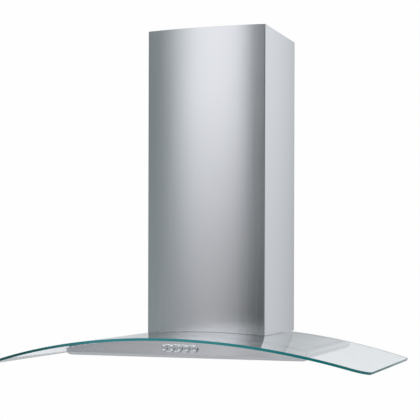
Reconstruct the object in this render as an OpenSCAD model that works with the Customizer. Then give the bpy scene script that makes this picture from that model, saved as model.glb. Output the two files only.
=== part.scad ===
// Wall mount range hood: arched glass canopy on a shallow steel body, bowed telescopic chimney,
// double inlet blower with a volute, non-return flaps, grease filters, lamps and push buttons.
// X runs along the wall, the wall is the plane Y = 0, the room is towards -Y, and Z is up.
// The origin is the middle of the four wall holes in the motor box.

/* [Glass canopy] */
// Width of the glass from end to end
glass_w = 900; // [860:5:1000]
// Distance from the wall to the middle of the front edge
glass_front = 540; // [500:5:600]
// How far the ends of the front edge lie behind its middle
glass_bow = 52; // [20:1:80]
// Gap between the wall and the rear edge
glass_gap = 30; // [20:1:40]
// Thickness of the glass
glass_t = 6; // [5:0.5:8]
// How far the two ends drop below the crown
glass_drop = 67; // [50:1:80]
// Radius of the two front corners in plan
glass_front_corner_r = 48; // [20:1:60]
// Radius of the two rear corners in plan
glass_rear_corner_r = 5; // [3:1:12]
// Thickness of the seal between the glass and the body
gasket_t = 1.5; // [1:0.25:3]
// Width of the seal
gasket_w = 12; // [8:1:20]

/* [Chimney] */
// Room for bolts and wiring between the motor box and the outside of the lower cover
box_room = 30; // [28:0.5:36]
// How far the front bows out between its two edges
cover_bow = 12; // [6:1:20]
// Height of the lower cover above the crown of the glass
cover_h = 732; // [640:1:900]
// Sheet thickness of both covers
cover_t = 1; // [0.8:0.1:1.2]
// Outer bend radius of the covers' front edges
cover_bend_r = 3; // [2.4:0.2:5]
// Width of the return flanges along the wall
cover_flange = 12; // [8:1:16]
// Gap between the lower wall bracket and the upper cover when that is pushed down
upper_rise = 19; // [4:1:150]
// Gap between the two covers
cover_gap = 1.5; // [1:0.1:2.5]
// How far the top of the upper cover lies below the top of the lower one at rest
upper_sink = 2; // [1:0.5:10]

/* [Body] */
// Width of the body
body_w = 594; // [584:2:640]
// Distance from the wall to the front of the body
body_d = 408; // [400:2:430]
// Distance from the crown of the glass to the bottom of the body
body_drop = 53; // [50:1:60]
// Sheet thickness of the body and of its roof
body_t = 1; // [0.8:0.1:1.2]
// Gap between the wall and the back of the body
body_back = 1.2; // [1.2:0.2:3]
// Bend radius of the lower front edge
body_edge_r = 8; // [4:1:12]
// Bend radius at the lower ends
body_end_r = 15; // [8:1:18]
// Radius of the upright front corners
body_corner_r = 5; // [2:1:8]
// Width of the flange round the bottom opening
body_flange = 13; // [8:1:13]
// Sheet thickness of the base panel
panel_t = 1; // [0.8:0.1:1.5]

/* [Buttons] */
// Place of the middle button along the body
controls_x = -6; // [-20:1:20]
// Height of the buttons' axis above the bottom of the body
controls_up = 22; // [20:1:24]
// Diameter of a button
button_d = 13.5; // [12:0.5:16]
// Space between two buttons
button_space = 5; // [2.5:0.5:6]
// Depth of the dish in the face of a button
button_dish = 1; // [0.4:0.1:1.4]
// How far a button stands out of the bezel
button_out = 4; // [3.5:0.5:6]
// Travel of a button
button_travel = 3; // [2:0.5:3]
// Width of the bezel's rim round the buttons
bezel_rim = 1.5; // [1:0.25:3]
// Thickness of the bezel
bezel_t = 1.6; // [1:0.2:2.5]

/* [Grease filters] */
// Width of the base panel between a filter and the flange of the body
filter_margin = 5; // [3:0.5:12]
// Distance between the wall and the filter openings
opening_back = 40; // [36:1:60]
// Thickness of one filter
filter_t = 9; // [7:0.5:11]
// Width of the frame's side and rear rails
filter_rail = 12; // [8:1:16]
// Width of the frame's front rail, which holds the latch
filter_front_rail = 28; // [26:1:34]
// Sheet thickness of the filter frame
filter_sheet = 1; // [0.6:0.1:1.2]
// Gap between a filter and its opening
filter_play = 1; // [0.8:0.1:1.5]
// Half the width of the bar between the two openings
filter_bar = 6; // [5:1:8]
// Travel of the latch
latch_travel = 6; // [4:0.5:7]
// Distance between the diamonds of the filter mesh
mesh_pitch = 22; // [18:1:30]
// Width of the strands between the diamonds
mesh_web = 3; // [2:0.5:5]
// Sheet thickness of the filter mesh
mesh_sheet = 0.8; // [0.5:0.1:1.2]

/* [Lamps] */
// Distance from the middle of the hood to a lamp
lamp_x = 180; // [150:5:220]
// Diameter of the lamp's ring below the panel
lamp_d = 60; // [56:1:62]
// Height of the lamp's housing above the panel
lamp_h = 22; // [18:1:24]

/* [Motor box] */
// Width of the motor box
box_w = 240; // [236:1:260]
// Distance from the flange of the collar to the front of the motor box
box_margin = 2.5; // [1:0.5:10]
// Height of the motor box above the crown of the glass
box_h = 240; // [236:1:256]
// Sheet thickness of the motor box
box_t = 1; // [0.8:0.1:1.2]
// Clearance round the motor box in the glass
notch_gap = 4; // [3:0.5:5]
// Radius of the inner corners of the cut-out in the glass
notch_corner_r = 8; // [4:1:9]

/* [Wall fixing] */
// Diameter of the wall holes
wall_hole_d = 8; // [6:0.5:10]
// Distance between the wall holes along the wall
wall_hole_x = 180; // [160:5:200]
// Distance between the wall holes up the wall
wall_hole_z = 140; // [120:5:150]
// Height of the middle of the wall holes above the crown of the glass
wall_fix_up = 130; // [120:1:140]
// Distance between the two wall holes of each cover bracket
bracket_hole_x = 160; // [120:5:200]
// Diameter of the holes in the cover brackets
bracket_hole_d = 6; // [5:0.5:8]

/* [Blower] */
// Outer diameter of the impeller
wheel_d = 130; // [120:1:132]
// Width of the impeller
wheel_w = 100; // [80:2:104]
// Number of blades
blade_count = 36; // [24:2:42]
// Depth of a blade along the radius
blade_depth = 13; // [10:1:15]
// Thickness of a blade
blade_t = 1; // [0.8:0.1:1.4]
// Height of the impeller's axis above the crown of the glass
wheel_up = 112; // [108:1:116]
// Gap between the impeller and the volute at its tongue
tongue_gap = 6; // [5:0.5:8]
// How much the volute's radius grows in each quarter turn
volute_step = 8; // [6:0.5:9]
// Gap between the impeller and each side of the volute
wheel_gap = 5; // [4:0.5:8]
// Sheet thickness of the volute
volute_t = 1; // [0.8:0.1:1.2]
// How much smaller the radius of the inlets is than that of the blades' inner edges
inlet_step = 2; // [1.5:0.5:4]
// Diameter of the motor
motor_d = 76; // [70:1:80]
// Diameter of the shaft
shaft_d = 8; // [6:0.5:10]

/* [Outlet] */
// Outer diameter of the collar that the duct slides over
collar_d = 150; // [146:1:152]
// Height of the collar
collar_h = 80; // [60:1:90]
// Wall thickness of the collar
collar_t = 1.5; // [1:0.1:2]
// Height of the flaps' pin above the motor box
pin_up = 14; // [10:1:18]
// Diameter of the flaps' pin
pin_d = 3; // [2.5:0.25:4]
// Thickness of a flap
flap_t = 1.2; // [0.8:0.1:1.6]

/* [Electrical] */
// Depth of the junction box, out from the side of the motor box
junction_out = 22; // [18:1:24]
// Bore of the mains cable gland
gland_bore = 9; // [8:0.5:10]
// Diameter of the capacitor
capacitor_d = 28; // [24:1:32]
// Diameter of the wiring harness
harness_d = 7; // [5:0.5:9]

/* [Hidden] */

// Facets of the large arcs and of the small round parts in the preview
arc_fn = 720;
round_fn = 64;
// Thin gap between curved faces that lie on each other
lay = 0.05;
// Gap of pieces that rest against others
seat = 0.3;
// Overlap of joined and cut solids
eps = 1;
// Radial clearance of running fits
running = 0.05;

// Radius of a circle through the ends and the middle of a bow
function bow_radius(width, rise) = (width * width / 4 + rise * rise) / (2 * rise);

// Height of the crown of the glass above the origin
crown_z = -wall_fix_up;

// Radius of the arch of the glass, measured on its upper face
glass_r = bow_radius(glass_w, glass_drop);
// How far the arch has dropped at a distance from the middle
function arch_drop(x) = glass_r - sqrt(glass_r * glass_r - x * x);
// Radius of the front edge in plan
glass_front_r = bow_radius(glass_w, glass_bow);

// Depths below the upper face of the glass, measured square to the arch
gasket_top = glass_t + lay;
roof_top = glass_t + gasket_t;
roof_bottom = roof_top + body_t;
flange_top = roof_bottom + lay;
flange_bottom = flange_top + box_t;

// Motor box and blower
wheel_r = wheel_d / 2;
volute_w = wheel_w + 2 * wheel_gap;
inlet_r = wheel_r - blade_depth - inlet_step;
wheel_back = box_t + 8 + volute_t + wheel_r + tongue_gap + volute_step;
volute_r = wheel_r + tongue_gap + volute_step / 2;
volute_half = volute_step / 2;
volute_out = volute_half + volute_r + 2 * volute_step;
channel_in = 6;
outlet_back = wheel_back + (channel_in + volute_out) / 2;
collar_r = collar_d / 2;
collar_flange = 8;
box_d = outlet_back + collar_r + collar_flange + box_margin;
box_flange = box_room - cover_t - 3;
volute_top = box_h - box_t - wheel_up;
side_rim = 5;
bell_r = 8;
bell_t = 1.2;
hub_r = 12;
motor_r = motor_d / 2;
motor_in = 8;
motor_out = volute_w / 2 + 7;
bracket_plate_t = 2;
post_r = 4;
post_at = wheel_r + 7;
post_angles = [90, 210, 330];
post_hole_r = 1.6;
post_screw_r = 1.5;

// Chimney covers
cover_w = box_w + 2 * box_room;
cover_d = box_d + box_room;
cover_r = bow_radius(cover_w, cover_bow);
upper_inset = cover_t + cover_gap;
upper_back = cover_t + 1;
upper_top = cover_h - upper_sink;
lug_t = 1.5;
lug_d = 20;
lug_reach = cover_gap + cover_t + 3;
bracket_t = 1.5;
bracket_h = 26;
bracket_step = 9;
bracket_ear = 26;
bracket_base_margin = 4;
side_screw_r = 2.2;
side_thread_r = 1.6;
side_screw_y = -upper_back - bracket_step - bracket_ear / 2;
lower_bracket_up = box_h + 8;
upper_bottom = lower_bracket_up + bracket_h + upper_rise;

// Body
body_bottom = -body_drop;
panel_bottom = body_bottom + body_t + lay;
panel_top = panel_bottom + panel_t;
body_gap = 1;
box_foot = -flange_bottom - arch_drop(box_w / 2);

// Filters
lamp_gap = 1;
shell_open_half = body_w / 2 - body_end_r - body_flange;
shell_open_front = body_d - body_edge_r - body_flange + body_t;
opening_w = shell_open_half - filter_margin - filter_bar;
opening_d = shell_open_front - lamp_d - 2 * lamp_gap - opening_back;
filter_w = opening_w - 2 * filter_play;
filter_d = opening_d - 2 * filter_play;
filter_x = filter_bar + filter_play;
filter_back = opening_back + filter_play;
filter_bottom = body_bottom + 0.5;
tab_w = 20;
tab_t = 1;
tab_reach = 9;
grip_w = 52;
grip_slot_d = 12 + latch_travel;
latch_t = 3;
tongue_w = 30;

// Buttons
button_count = 5;
button_pitch = button_d + button_space;
button_z = body_bottom + controls_up;
button_gap = 0.3;
bezel_h = button_d + 2 * bezel_rim;
stem_r = 4;
stem_gap = 0.4;
button_flange_r = button_d / 2 + 1;
button_flange_t = 1.5;
block_gap = button_flange_t + button_travel + 1;
block_front = body_d - body_t - block_gap;
block_d = 24;
block_h = 18;
block_margin = 8;

// Lamps
lamp_y = shell_open_front - lamp_gap - lamp_d / 2;
lamp_body_r = lamp_d / 2 - 5;
lamp_wall = 1;
lamp_ring_t = 1.5;
lamp_neck_r = 8;
lens_t = 2.5;
bulb_r = 3;
bulb_base_r = 4.1;
bulb_drop = 12;
transformer_size = [74, 40, 20];
transformer_x = -lamp_x + lamp_body_r + 8;
transformer_y = -lamp_y - transformer_size[1] / 2;
lead_r = 1.5;
lead_bend = 3;
lead_up = 8;

// Collar and flaps
collar_flange_t = 1.2;
collar_ledge = 4;
collar_ledge_t = 1.5;
outlet_screw_at = collar_r + 1;
outlet_hole_r = 2.1;
collar_base = box_h + lay;
pin_z = box_h + pin_up;
pin_r = pin_d / 2;
barrel_r = pin_r + 1.6;
flap_start = barrel_r + 0.8;
flap_r = collar_r - collar_t - 1.2;
barrel_length = 20;
barrel_starts = [-62, 4];

// Electrical parts
junction_size = [junction_out, 70, 80];
junction_y = -140;
junction_up = 110;
junction_wall = 2;
junction_lid_t = 1.5;
gland_wall = 2;
harness_y = junction_y + junction_size[1] / 2;
harness_up = junction_up + 20;
harness_gap = 0.5;
capacitor_h = 60;
capacitor_at = [box_w / 2 - 32, -box_d + box_t + capacitor_d / 2 + 5, 20];

// Points where the glass, the roof and the motor box are bolted together
bush_x = (box_w / 2 + notch_gap + cover_w / 2 - cover_t) / 2;
bush_rear_y = -70;
bush_middle_y = -190;
bush_front_x = 70;
bush_front_y = -(box_d + notch_gap + 13);
bush_points = [
    [-bush_x, bush_rear_y], [bush_x, bush_rear_y],
    [-bush_x, bush_middle_y], [bush_x, bush_middle_y],
    [-bush_front_x, bush_front_y], [bush_front_x, bush_front_y]
];
bush_flange_r = 9;
bush_flange_t = 2.5;
bush_sleeve_r = 5;
bush_play = 0.5;
nut_h = 4;
screw_r = 2.5;
screw_head_r = 4.5;
bore_depth = 30;

// Moves a piece that is drawn from the crown of the glass
module at_crown() {
    translate([0, 0, crown_z]) children();
}

// Stands a piece square on the glass, over a point of the plan
module on_arch(p) {
    translate([0, p[1], -glass_r])
        rotate([0, asin(p[0] / glass_r), 0])
            translate([0, 0, glass_r]) children();
}

// Bores square to the arch at every bolt of the canopy
module bush_holes(r) {
    for (p = bush_points)
        on_arch(p)
            translate([0, 0, -bore_depth]) cylinder(r = r, h = 1.5 * bore_depth, $fn = round_fn);
}

// Solid under the arch of the glass, a given depth below its upper face
module under_arch(depth) {
    translate([0, eps, -glass_r])
        rotate([90, 0, 0])
            cylinder(r = glass_r - depth, h = glass_front + 2 * eps, $fn = arc_fn);
}

// Sheet that follows the arch between two depths
module arch_sheet(top, bottom) {
    difference() {
        under_arch(top);
        under_arch(bottom);
    }
}

// Upright prism over a plan, tall enough for the whole canopy
module canopy_prism() {
    translate([0, 0, -2 * glass_drop - 2 * body_drop])
        linear_extrude(height = 2 * glass_drop + 2 * body_drop + 20)
            children();
}

// What a fillet takes away from a corner, between its two tangent points
module corner_waste(centre, corner, tangent_1, tangent_2, r) {
    difference() {
        polygon([centre, tangent_1, centre + 1.6 * (corner - centre), tangent_2]);
        translate(centre) circle(r = r, $fn = round_fn);
    }
}

// Rectangle in plan, given by two corners
module plan_box(x0, y0, x1, y1) {
    translate([x0, y0]) square([x1 - x0, y1 - y0]);
}

// Both sides of a symmetric piece
module both_sides() {
    children();
    mirror([1, 0, 0]) children();
}

// Profile drawn as (distance in front of the wall, height), extruded along X about the middle
module along_x(width) {
    rotate([90, 0, -90])
        linear_extrude(height = width, center = true)
            children();
}

// Fillet waste at the corner between a straight side and a bowed front
module bowed_corner_waste(half, front, bow_r, r) {
    bow_centre = bow_r - front;
    centre = [half - r, bow_centre - sqrt(pow(bow_r - r, 2) - pow(half - r, 2))];
    reach = [half - r, centre[1] - bow_centre] / (bow_r - r);
    corner = [half, bow_centre - sqrt(bow_r * bow_r - half * half)];
    corner_waste(centre, corner, [half, centre[1]], [0, bow_centre] + bow_r * reach, r);
}

// Outline in plan with a bowed front and straight sides
module bowed_plan(width, front, bow_r, corner_r, back) {
    difference() {
        intersection() {
            translate([0, bow_r - front]) circle(r = bow_r, $fn = arc_fn);
            plan_box(-width / 2, -front - eps, width / 2, -back);
        }
        both_sides() bowed_corner_waste(width / 2, front, bow_r, corner_r);
    }
}

// Glass and what clamps it

module glass_plan() {
    half = glass_w / 2;
    notch = box_w / 2 + notch_gap;
    front = -box_d - notch_gap;
    r = glass_rear_corner_r;
    n = notch_corner_r;
    difference() {
        bowed_plan(glass_w, glass_front, glass_front_r, glass_front_corner_r, glass_gap);
        both_sides()
            corner_waste([half - r, -glass_gap - r], [half, -glass_gap], [half, -glass_gap - r],
                         [half - r, -glass_gap], r);
        difference() {
            plan_box(-notch, front, notch, eps);
            both_sides()
                corner_waste([notch - n, front + n], [notch, front], [notch, front + n], [notch - n, front], n);
        }
    }
}

module glass_canopy() {
    at_crown() color("paleturquoise", 0.5)
        difference() {
            intersection() {
                arch_sheet(0, glass_t);
                canopy_prism() glass_plan();
            }
            bush_holes(bush_sleeve_r + bush_play);
        }
}

module gasket_ring(inset) {
    plan_box(-body_w / 2 + inset, -body_d + inset, body_w / 2 - inset, -glass_gap - inset + 2);
}

module glass_gasket() {
    edge = 6;
    at_crown() color("dimgray")
        intersection() {
            arch_sheet(gasket_top, roof_top - lay);
            canopy_prism()
                difference() {
                    gasket_ring(edge);
                    gasket_ring(edge + gasket_w);
                    plan_box(-box_w / 2 - notch_gap, -body_d / 2, box_w / 2 + notch_gap, eps);
                }
        }
}

module glass_bushes() {
    at_crown() color("ivory")
        for (p = bush_points)
            on_arch(p)
                difference() {
                    union() {
                        translate([0, 0, 2 * lay])
                            cylinder(r = bush_flange_r, h = bush_flange_t - 2 * lay, $fn = round_fn);
                        translate([0, 0, -roof_top + 2 * lay])
                            cylinder(r = bush_sleeve_r, h = roof_top, $fn = round_fn);
                    }
                    translate([0, 0, -bore_depth])
                        cylinder(r = screw_r + running, h = 1.5 * bore_depth, $fn = round_fn);
                }
}

module glass_screws() {
    at_crown() color("silver")
        for (p = bush_points)
            on_arch(p)
                translate([0, 0, bush_flange_t + lay])
                    pan_screw(screw_r, screw_head_r, bush_flange_t + flange_bottom + nut_h + 2);
}

module glass_nuts() {
    at_crown() color("darkgray")
        for (p = bush_points)
            on_arch(p)
                difference() {
                    translate([0, 0, -flange_bottom - nut_h - 2 * lay])
                        cylinder(r = screw_head_r, h = nut_h, $fn = 6);
                    translate([0, 0, -bore_depth])
                        cylinder(r = screw_r + running, h = 1.5 * bore_depth, $fn = round_fn);
                }
}

// Pan head screw that hangs down from the seat of its head
module pan_screw(shank_r, head_r, length) {
    head_h = head_r * 0.6;
    translate([0, 0, -length]) cylinder(r = shank_r, h = length + head_h / 2, $fn = round_fn);
    rotate_extrude($fn = round_fn)
        intersection() {
            union() {
                square([head_r - head_h / 2, head_h]);
                square([head_r, head_h / 2]);
                translate([head_r - head_h / 2, head_h / 2]) circle(r = head_h / 2, $fn = round_fn);
            }
            square([head_r, head_h]);
        }
}

// Chimney covers and their wall brackets

module cover_plan(inset, back) {
    bowed_plan(cover_w - 2 * inset, cover_d + cover_bow - inset, cover_r - inset,
               max(cover_bend_r - inset, 1), back);
}

// Folded sheet open at the wall, with a return flange along each rear edge
module cover_sheet(inset, back) {
    opening = cover_w / 2 - inset - cover_t - cover_flange;
    difference() {
        cover_plan(inset, back);
        cover_plan(inset + cover_t, back + cover_t);
        plan_box(-opening, -back - 2 * cover_t, opening, eps);
    }
}

module lower_cover() {
    at_crown() color("lightgray") {
        difference() {
            translate([0, 0, -2 * arch_drop(cover_w / 2)])
                linear_extrude(height = cover_h + 2 * arch_drop(cover_w / 2)) cover_sheet(0, 0);
            under_arch(-seat);
        }
        both_sides()
            translate([cover_w / 2 - cover_t / 2 - lug_reach, -cover_d / 2 - lug_d,
                       upper_bottom - seat - lug_t])
                cube([lug_reach, lug_d, lug_t]);
    }
}

// Bore for the two screws that hold the upper cover to its bracket
module side_hole(r) {
    translate([0, side_screw_y, upper_top - bracket_h / 2])
        rotate([0, 90, 0]) cylinder(r = r, h = cover_w, center = true, $fn = round_fn);
}

module upper_cover() {
    at_crown() color("silver")
        difference() {
            translate([0, 0, upper_bottom])
                linear_extrude(height = upper_top - upper_bottom) cover_sheet(upper_inset, upper_back);
            side_hole(side_screw_r);
        }
}

// Plan of a folded wall bracket whose ears lie inside a cover's sides
module bracket_plan(inner_half, flange_edge, flange_back) {
    base_half = flange_edge - bracket_base_margin;
    out_y = -flange_back - bracket_step;
    plan_box(-base_half, -bracket_t, base_half, 0);
    both_sides() {
        plan_box(base_half - bracket_t, out_y - bracket_t, base_half, 0);
        plan_box(base_half - bracket_t, out_y - bracket_t, inner_half, out_y);
        plan_box(inner_half - bracket_t, out_y - bracket_ear, inner_half, out_y);
    }
}

module bracket_holes(up) {
    for (side = [-1, 1])
        translate([side * bracket_hole_x / 2, eps, up])
            rotate([90, 0, 0]) cylinder(r = bracket_hole_d / 2, h = bracket_t + 2 * eps, $fn = round_fn);
}

module lower_cover_bracket() {
    at_crown() color("gainsboro")
        difference() {
            translate([0, 0, lower_bracket_up])
                linear_extrude(height = bracket_h)
                    bracket_plan(cover_w / 2 - cover_t - seat, cover_w / 2 - cover_t - cover_flange, cover_t);
            bracket_holes(lower_bracket_up + bracket_h / 2);
        }
}

module upper_cover_bracket() {
    inner = cover_w / 2 - upper_inset - cover_t;
    at_crown() color("gainsboro")
        difference() {
            translate([0, 0, upper_top - bracket_h])
                linear_extrude(height = bracket_h)
                    bracket_plan(inner - seat, inner - cover_flange, upper_back + cover_t);
            bracket_holes(upper_top - bracket_h / 2);
            side_hole(side_thread_r);
        }
}

// Body

// Outline of the body seen from the front, with round lower corners
module body_front_view(inset) {
    half = body_w / 2 - inset;
    low = body_bottom + inset;
    r = body_end_r - inset;
    difference() {
        translate([-half, low]) square([2 * half, body_drop + eps]);
        both_sides()
            corner_waste([half - r, low + r], [half, low], [half, low + r], [half - r, low], r);
    }
}

// Outline of the body seen from the side, drawn as distance from the wall and height
module body_side_view(inset) {
    back = body_back + inset;
    front = body_d - inset;
    low = body_bottom + inset;
    r = body_edge_r - inset;
    difference() {
        translate([back, low]) square([front - back, body_drop + eps]);
        corner_waste([front - r, low + r], [front, low], [front, low + r], [front - r, low], r);
    }
}

module body_plan(inset) {
    half = body_w / 2 - inset;
    front = -body_d + inset;
    r = body_corner_r - inset;
    difference() {
        plan_box(-half, front, half, -body_back - inset);
        both_sides()
            corner_waste([half - r, front + r], [half, front], [half, front + r], [half - r, front], r);
    }
}

module body_block(inset) {
    intersection() {
        rotate([90, 0, 0]) linear_extrude(height = body_d + eps) body_front_view(inset);
        along_x(body_w + 2 * eps) body_side_view(inset);
        canopy_prism() body_plan(inset);
    }
}

module body_shell() {
    at_crown() color("silver")
        difference() {
            intersection() {
                body_block(0);
                under_arch(roof_bottom + lay);
            }
            body_block(body_t);
            translate([0, 0, body_bottom - eps])
                linear_extrude(height = body_t + 2 * eps)
                    plan_box(-shell_open_half, -shell_open_front, shell_open_half, -body_back - body_flange);
            translate([-box_w / 2 - body_gap, -body_back - body_t - eps, box_foot - body_gap])
                cube([box_w + 2 * body_gap, body_t + 2 * eps, -box_foot]);
            for (i = [0 : button_count - 1])
                translate([button_x(i), -body_d - eps, button_z])
                    rotate([-90, 0, 0])
                        cylinder(r = button_d / 2 + button_gap, h = body_t + 2 * eps, $fn = round_fn);
        }
}

module body_roof() {
    at_crown() color("gainsboro")
        difference() {
            intersection() {
                arch_sheet(roof_top, roof_bottom);
                canopy_prism()
                    difference() {
                        body_plan(0);
                        plan_box(-box_w / 2 - body_gap, -box_d - body_gap, box_w / 2 + body_gap, eps);
                    }
            }
            bush_holes(screw_r + bush_play);
        }
}

module base_panel() {
    half = body_w / 2 - body_end_r - body_gap;
    at_crown() color("gainsboro")
        difference() {
            translate([0, 0, panel_bottom])
                linear_extrude(height = panel_t)
                    difference() {
                        plan_box(-half, -body_d + body_edge_r + 0.5, half, -body_back - body_t - 0.5);
                        both_sides()
                            plan_box(filter_bar, -opening_back - opening_d, filter_bar + opening_w,
                                     -opening_back);
                    }
            for (side = [-1, 1])
                translate([side * lamp_x, -lamp_y, panel_bottom - eps])
                    cylinder(r = lamp_body_r + 0.3, h = panel_t + 2 * eps, $fn = round_fn);
        }
}

// Buttons and what holds them

function button_x(i) = controls_x + (i - (button_count - 1) / 2) * button_pitch;

module control_bezel() {
    half = (button_count - 1) * button_pitch / 2;
    r = bezel_h / 2;
    at_crown() color("silver")
        translate([controls_x, -body_d, button_z])
            rotate([90, 0, 0])
                linear_extrude(height = bezel_t)
                    difference() {
                        union() {
                            translate([-half, -r]) square([2 * half, bezel_h]);
                            for (side = [-1, 1])
                                translate([side * half, 0]) circle(r = r, $fn = round_fn);
                        }
                        for (i = [0 : button_count - 1])
                            translate([button_x(i) - controls_x, 0])
                                circle(r = button_d / 2 + button_gap, $fn = round_fn);
                    }
}

// Half section of a button: distance from its axis, and height out of the room-side face
module button_section() {
    r = button_d / 2;
    edge_r = 1.5;
    tip = bezel_t + button_out;
    dish_half = r - edge_r;
    dish_r = (dish_half * dish_half + button_dish * button_dish) / (2 * button_dish);
    square([r, tip - edge_r]);
    difference() {
        square([dish_half, tip]);
        translate([0, tip - button_dish + dish_r]) circle(r = dish_r, $fn = round_fn);
    }
    intersection() {
        translate([r - edge_r, tip - edge_r]) circle(r = edge_r, $fn = round_fn);
        square([r, tip]);
    }
    translate([0, -body_t - button_gap - button_flange_t]) square([button_flange_r, button_flange_t]);
    translate([0, -body_t - button_gap - eps]) square([r, body_t + button_gap + 2 * eps]);
    translate([0, -body_t - block_gap - 4]) square([stem_r, block_gap + 4]);
}

module push_button(i) {
    at_crown() color("gainsboro")
        translate([button_x(i), -body_d, button_z])
            rotate([90, 0, 0])
                rotate_extrude($fn = round_fn) button_section();
}

module off_button() {
    push_button(0);
}

module speed_1_button() {
    push_button(1);
}

module speed_2_button() {
    push_button(2);
}

module speed_3_button() {
    push_button(3);
}

module light_button() {
    push_button(4);
}

module switch_block() {
    half = (button_count - 1) * button_pitch / 2 + block_margin;
    terminal = [6, 3, 4];
    at_crown() color("dimgray") {
        difference() {
            translate([controls_x - half, -block_front, button_z - block_h / 2])
                cube([2 * half, block_d, block_h]);
            for (i = [0 : button_count - 1])
                translate([button_x(i), -block_front - eps, button_z])
                    rotate([-90, 0, 0])
                        cylinder(r = stem_r + stem_gap, h = eps + 4 + button_travel + 1, $fn = round_fn);
        }
        for (i = [0 : button_count - 1])
            translate([button_x(i) - terminal[0] / 2, -block_front + block_d - eps,
                       button_z - block_h / 2 + 4])
                cube([terminal[0], terminal[1] + eps, terminal[2]]);
    }
}

module switch_bracket() {
    half = (button_count - 1) * button_pitch / 2 + block_margin;
    foot = 14;
    shelf = button_z - block_h / 2;
    rear = -block_front + block_d + 4;
    at_crown() color("gainsboro")
        translate([controls_x, 0, 0]) {
            translate([-half, -block_front, shelf - bracket_t]) cube([2 * half, block_d + 4, bracket_t]);
            translate([-half, rear - bracket_t, panel_top]) cube([2 * half, bracket_t, shelf - panel_top]);
            translate([-half, rear - bracket_t, panel_top]) cube([2 * half, foot, bracket_t]);
            both_sides()
                translate([half - bracket_t, -block_front, panel_top])
                    cube([bracket_t, block_d + 4, shelf - panel_top]);
        }
}

// Grease filters, drawn for the right side

module filter_frame_half() {
    front = filter_back + filter_d;
    sheet = filter_sheet;
    slot_y = -front + 6;
    difference() {
        translate([filter_x, -front, filter_bottom]) cube([filter_w, filter_d, filter_t]);
        translate([filter_x + sheet, -front + sheet, filter_bottom + sheet])
            cube([filter_w - 2 * sheet, filter_d - 2 * sheet, filter_t - 2 * sheet]);
        translate([filter_x + filter_rail, -front + filter_front_rail, filter_bottom - eps])
            cube([filter_w - 2 * filter_rail, filter_d - filter_rail - filter_front_rail,
                  filter_t + 2 * eps]);
        translate([filter_x + filter_w / 2 - grip_w / 2, slot_y, filter_bottom - eps])
            cube([grip_w, grip_slot_d, sheet + 2 * eps]);
        translate([filter_x + filter_w / 2 - tongue_w / 2 - 1, -front - eps, filter_bottom + sheet])
            cube([tongue_w + 2, sheet + 2 * eps, latch_t + 1]);
    }
    for (at = [0.2, 0.8])
        translate([filter_x + at * filter_w - tab_w / 2, -filter_back - eps, panel_top + seat])
            cube([tab_w, filter_play + tab_reach + eps, tab_t]);
}

// Expanded metal pack: a folded case with rows of diamonds in its lower sheet
module filter_mesh_half() {
    front = filter_back + filter_d;
    x0 = filter_x + filter_sheet + 1;
    x1 = filter_x + filter_w - filter_sheet - 1;
    y0 = -front + filter_front_rail - 3;
    y1 = -filter_back - filter_sheet - 1;
    z0 = filter_bottom + filter_sheet + seat;
    thick = filter_t - 2 * filter_sheet - 2 * seat;
    columns = floor((x1 - x0 - 2 * filter_rail) / mesh_pitch);
    rows = floor((y1 - y0 - 2 * filter_rail) / mesh_pitch);
    mid = [(x0 + x1) / 2, (y0 + y1) / 2];
    sheet = mesh_sheet;
    difference() {
        translate([x0, y0, z0]) cube([x1 - x0, y1 - y0, thick]);
        translate([x0 + sheet, y0 + sheet, z0 + sheet])
            cube([x1 - x0 - 2 * sheet, y1 - y0 - 2 * sheet, thick - 2 * sheet]);
        for (i = [0 : columns - 1])
            for (j = [0 : rows - 1])
                translate([mid[0] + (i - (columns - 1) / 2) * mesh_pitch,
                           mid[1] + (j - (rows - 1) / 2) * mesh_pitch, z0 - eps])
                    linear_extrude(height = sheet + 2 * eps) diamond(mesh_pitch - mesh_web);
    }
}

module diamond(width) {
    r = width / 2;
    polygon([[-r, 0], [0, -r], [r, 0], [0, r]]);
}

module filter_latch_half() {
    front = filter_back + filter_d;
    x_mid = filter_x + filter_w / 2;
    z0 = filter_bottom + filter_sheet + seat;
    plate = [grip_w + 8, filter_front_rail - 8 - latch_travel, latch_t];
    plate_y = -front + filter_sheet + 1.5;
    rib = [grip_w - 8, 3, filter_sheet + seat + 2.5];
    translate([x_mid - plate[0] / 2, plate_y, z0]) cube(plate);
    translate([x_mid - tongue_w / 2, -front - filter_play + seat, z0])
        cube([tongue_w, filter_play + filter_sheet + 2.5, latch_t]);
    translate([x_mid - rib[0] / 2, -front + 7.5, z0 - rib[2]])
        cube([rib[0], rib[1], rib[2] + eps]);
}

module filter_frame_right() {
    at_crown() color("lightgray") filter_frame_half();
}

module filter_frame_left() {
    at_crown() color("lightgray") mirror([1, 0, 0]) filter_frame_half();
}

module filter_mesh_right() {
    at_crown() color("darkgray") filter_mesh_half();
}

module filter_mesh_left() {
    at_crown() color("darkgray") mirror([1, 0, 0]) filter_mesh_half();
}

module filter_latch_right() {
    at_crown() color("dimgray") filter_latch_half();
}

module filter_latch_left() {
    at_crown() color("dimgray") mirror([1, 0, 0]) filter_latch_half();
}

// Lamps and their supply

module lamp_housing() {
    r = lamp_body_r;
    low = panel_bottom - lamp_ring_t - lay;
    difference() {
        union() {
            translate([0, 0, low]) cylinder(r = lamp_d / 2, h = lamp_ring_t, $fn = round_fn);
            translate([0, 0, low]) cylinder(r = r, h = panel_bottom - low + lamp_h, $fn = round_fn);
            translate([0, 0, panel_bottom + lamp_h - eps])
                cylinder(r = lamp_neck_r, h = eps + 2, $fn = round_fn);
        }
        translate([0, 0, low - eps])
            cylinder(r = r - lamp_wall, h = panel_bottom - low + lamp_h - lamp_wall + eps, $fn = round_fn);
        translate([0, 0, panel_bottom + lamp_h - lamp_wall - eps])
            cylinder(r = bulb_base_r + running, h = 4 + 2 * eps, $fn = round_fn);
    }
}

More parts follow.
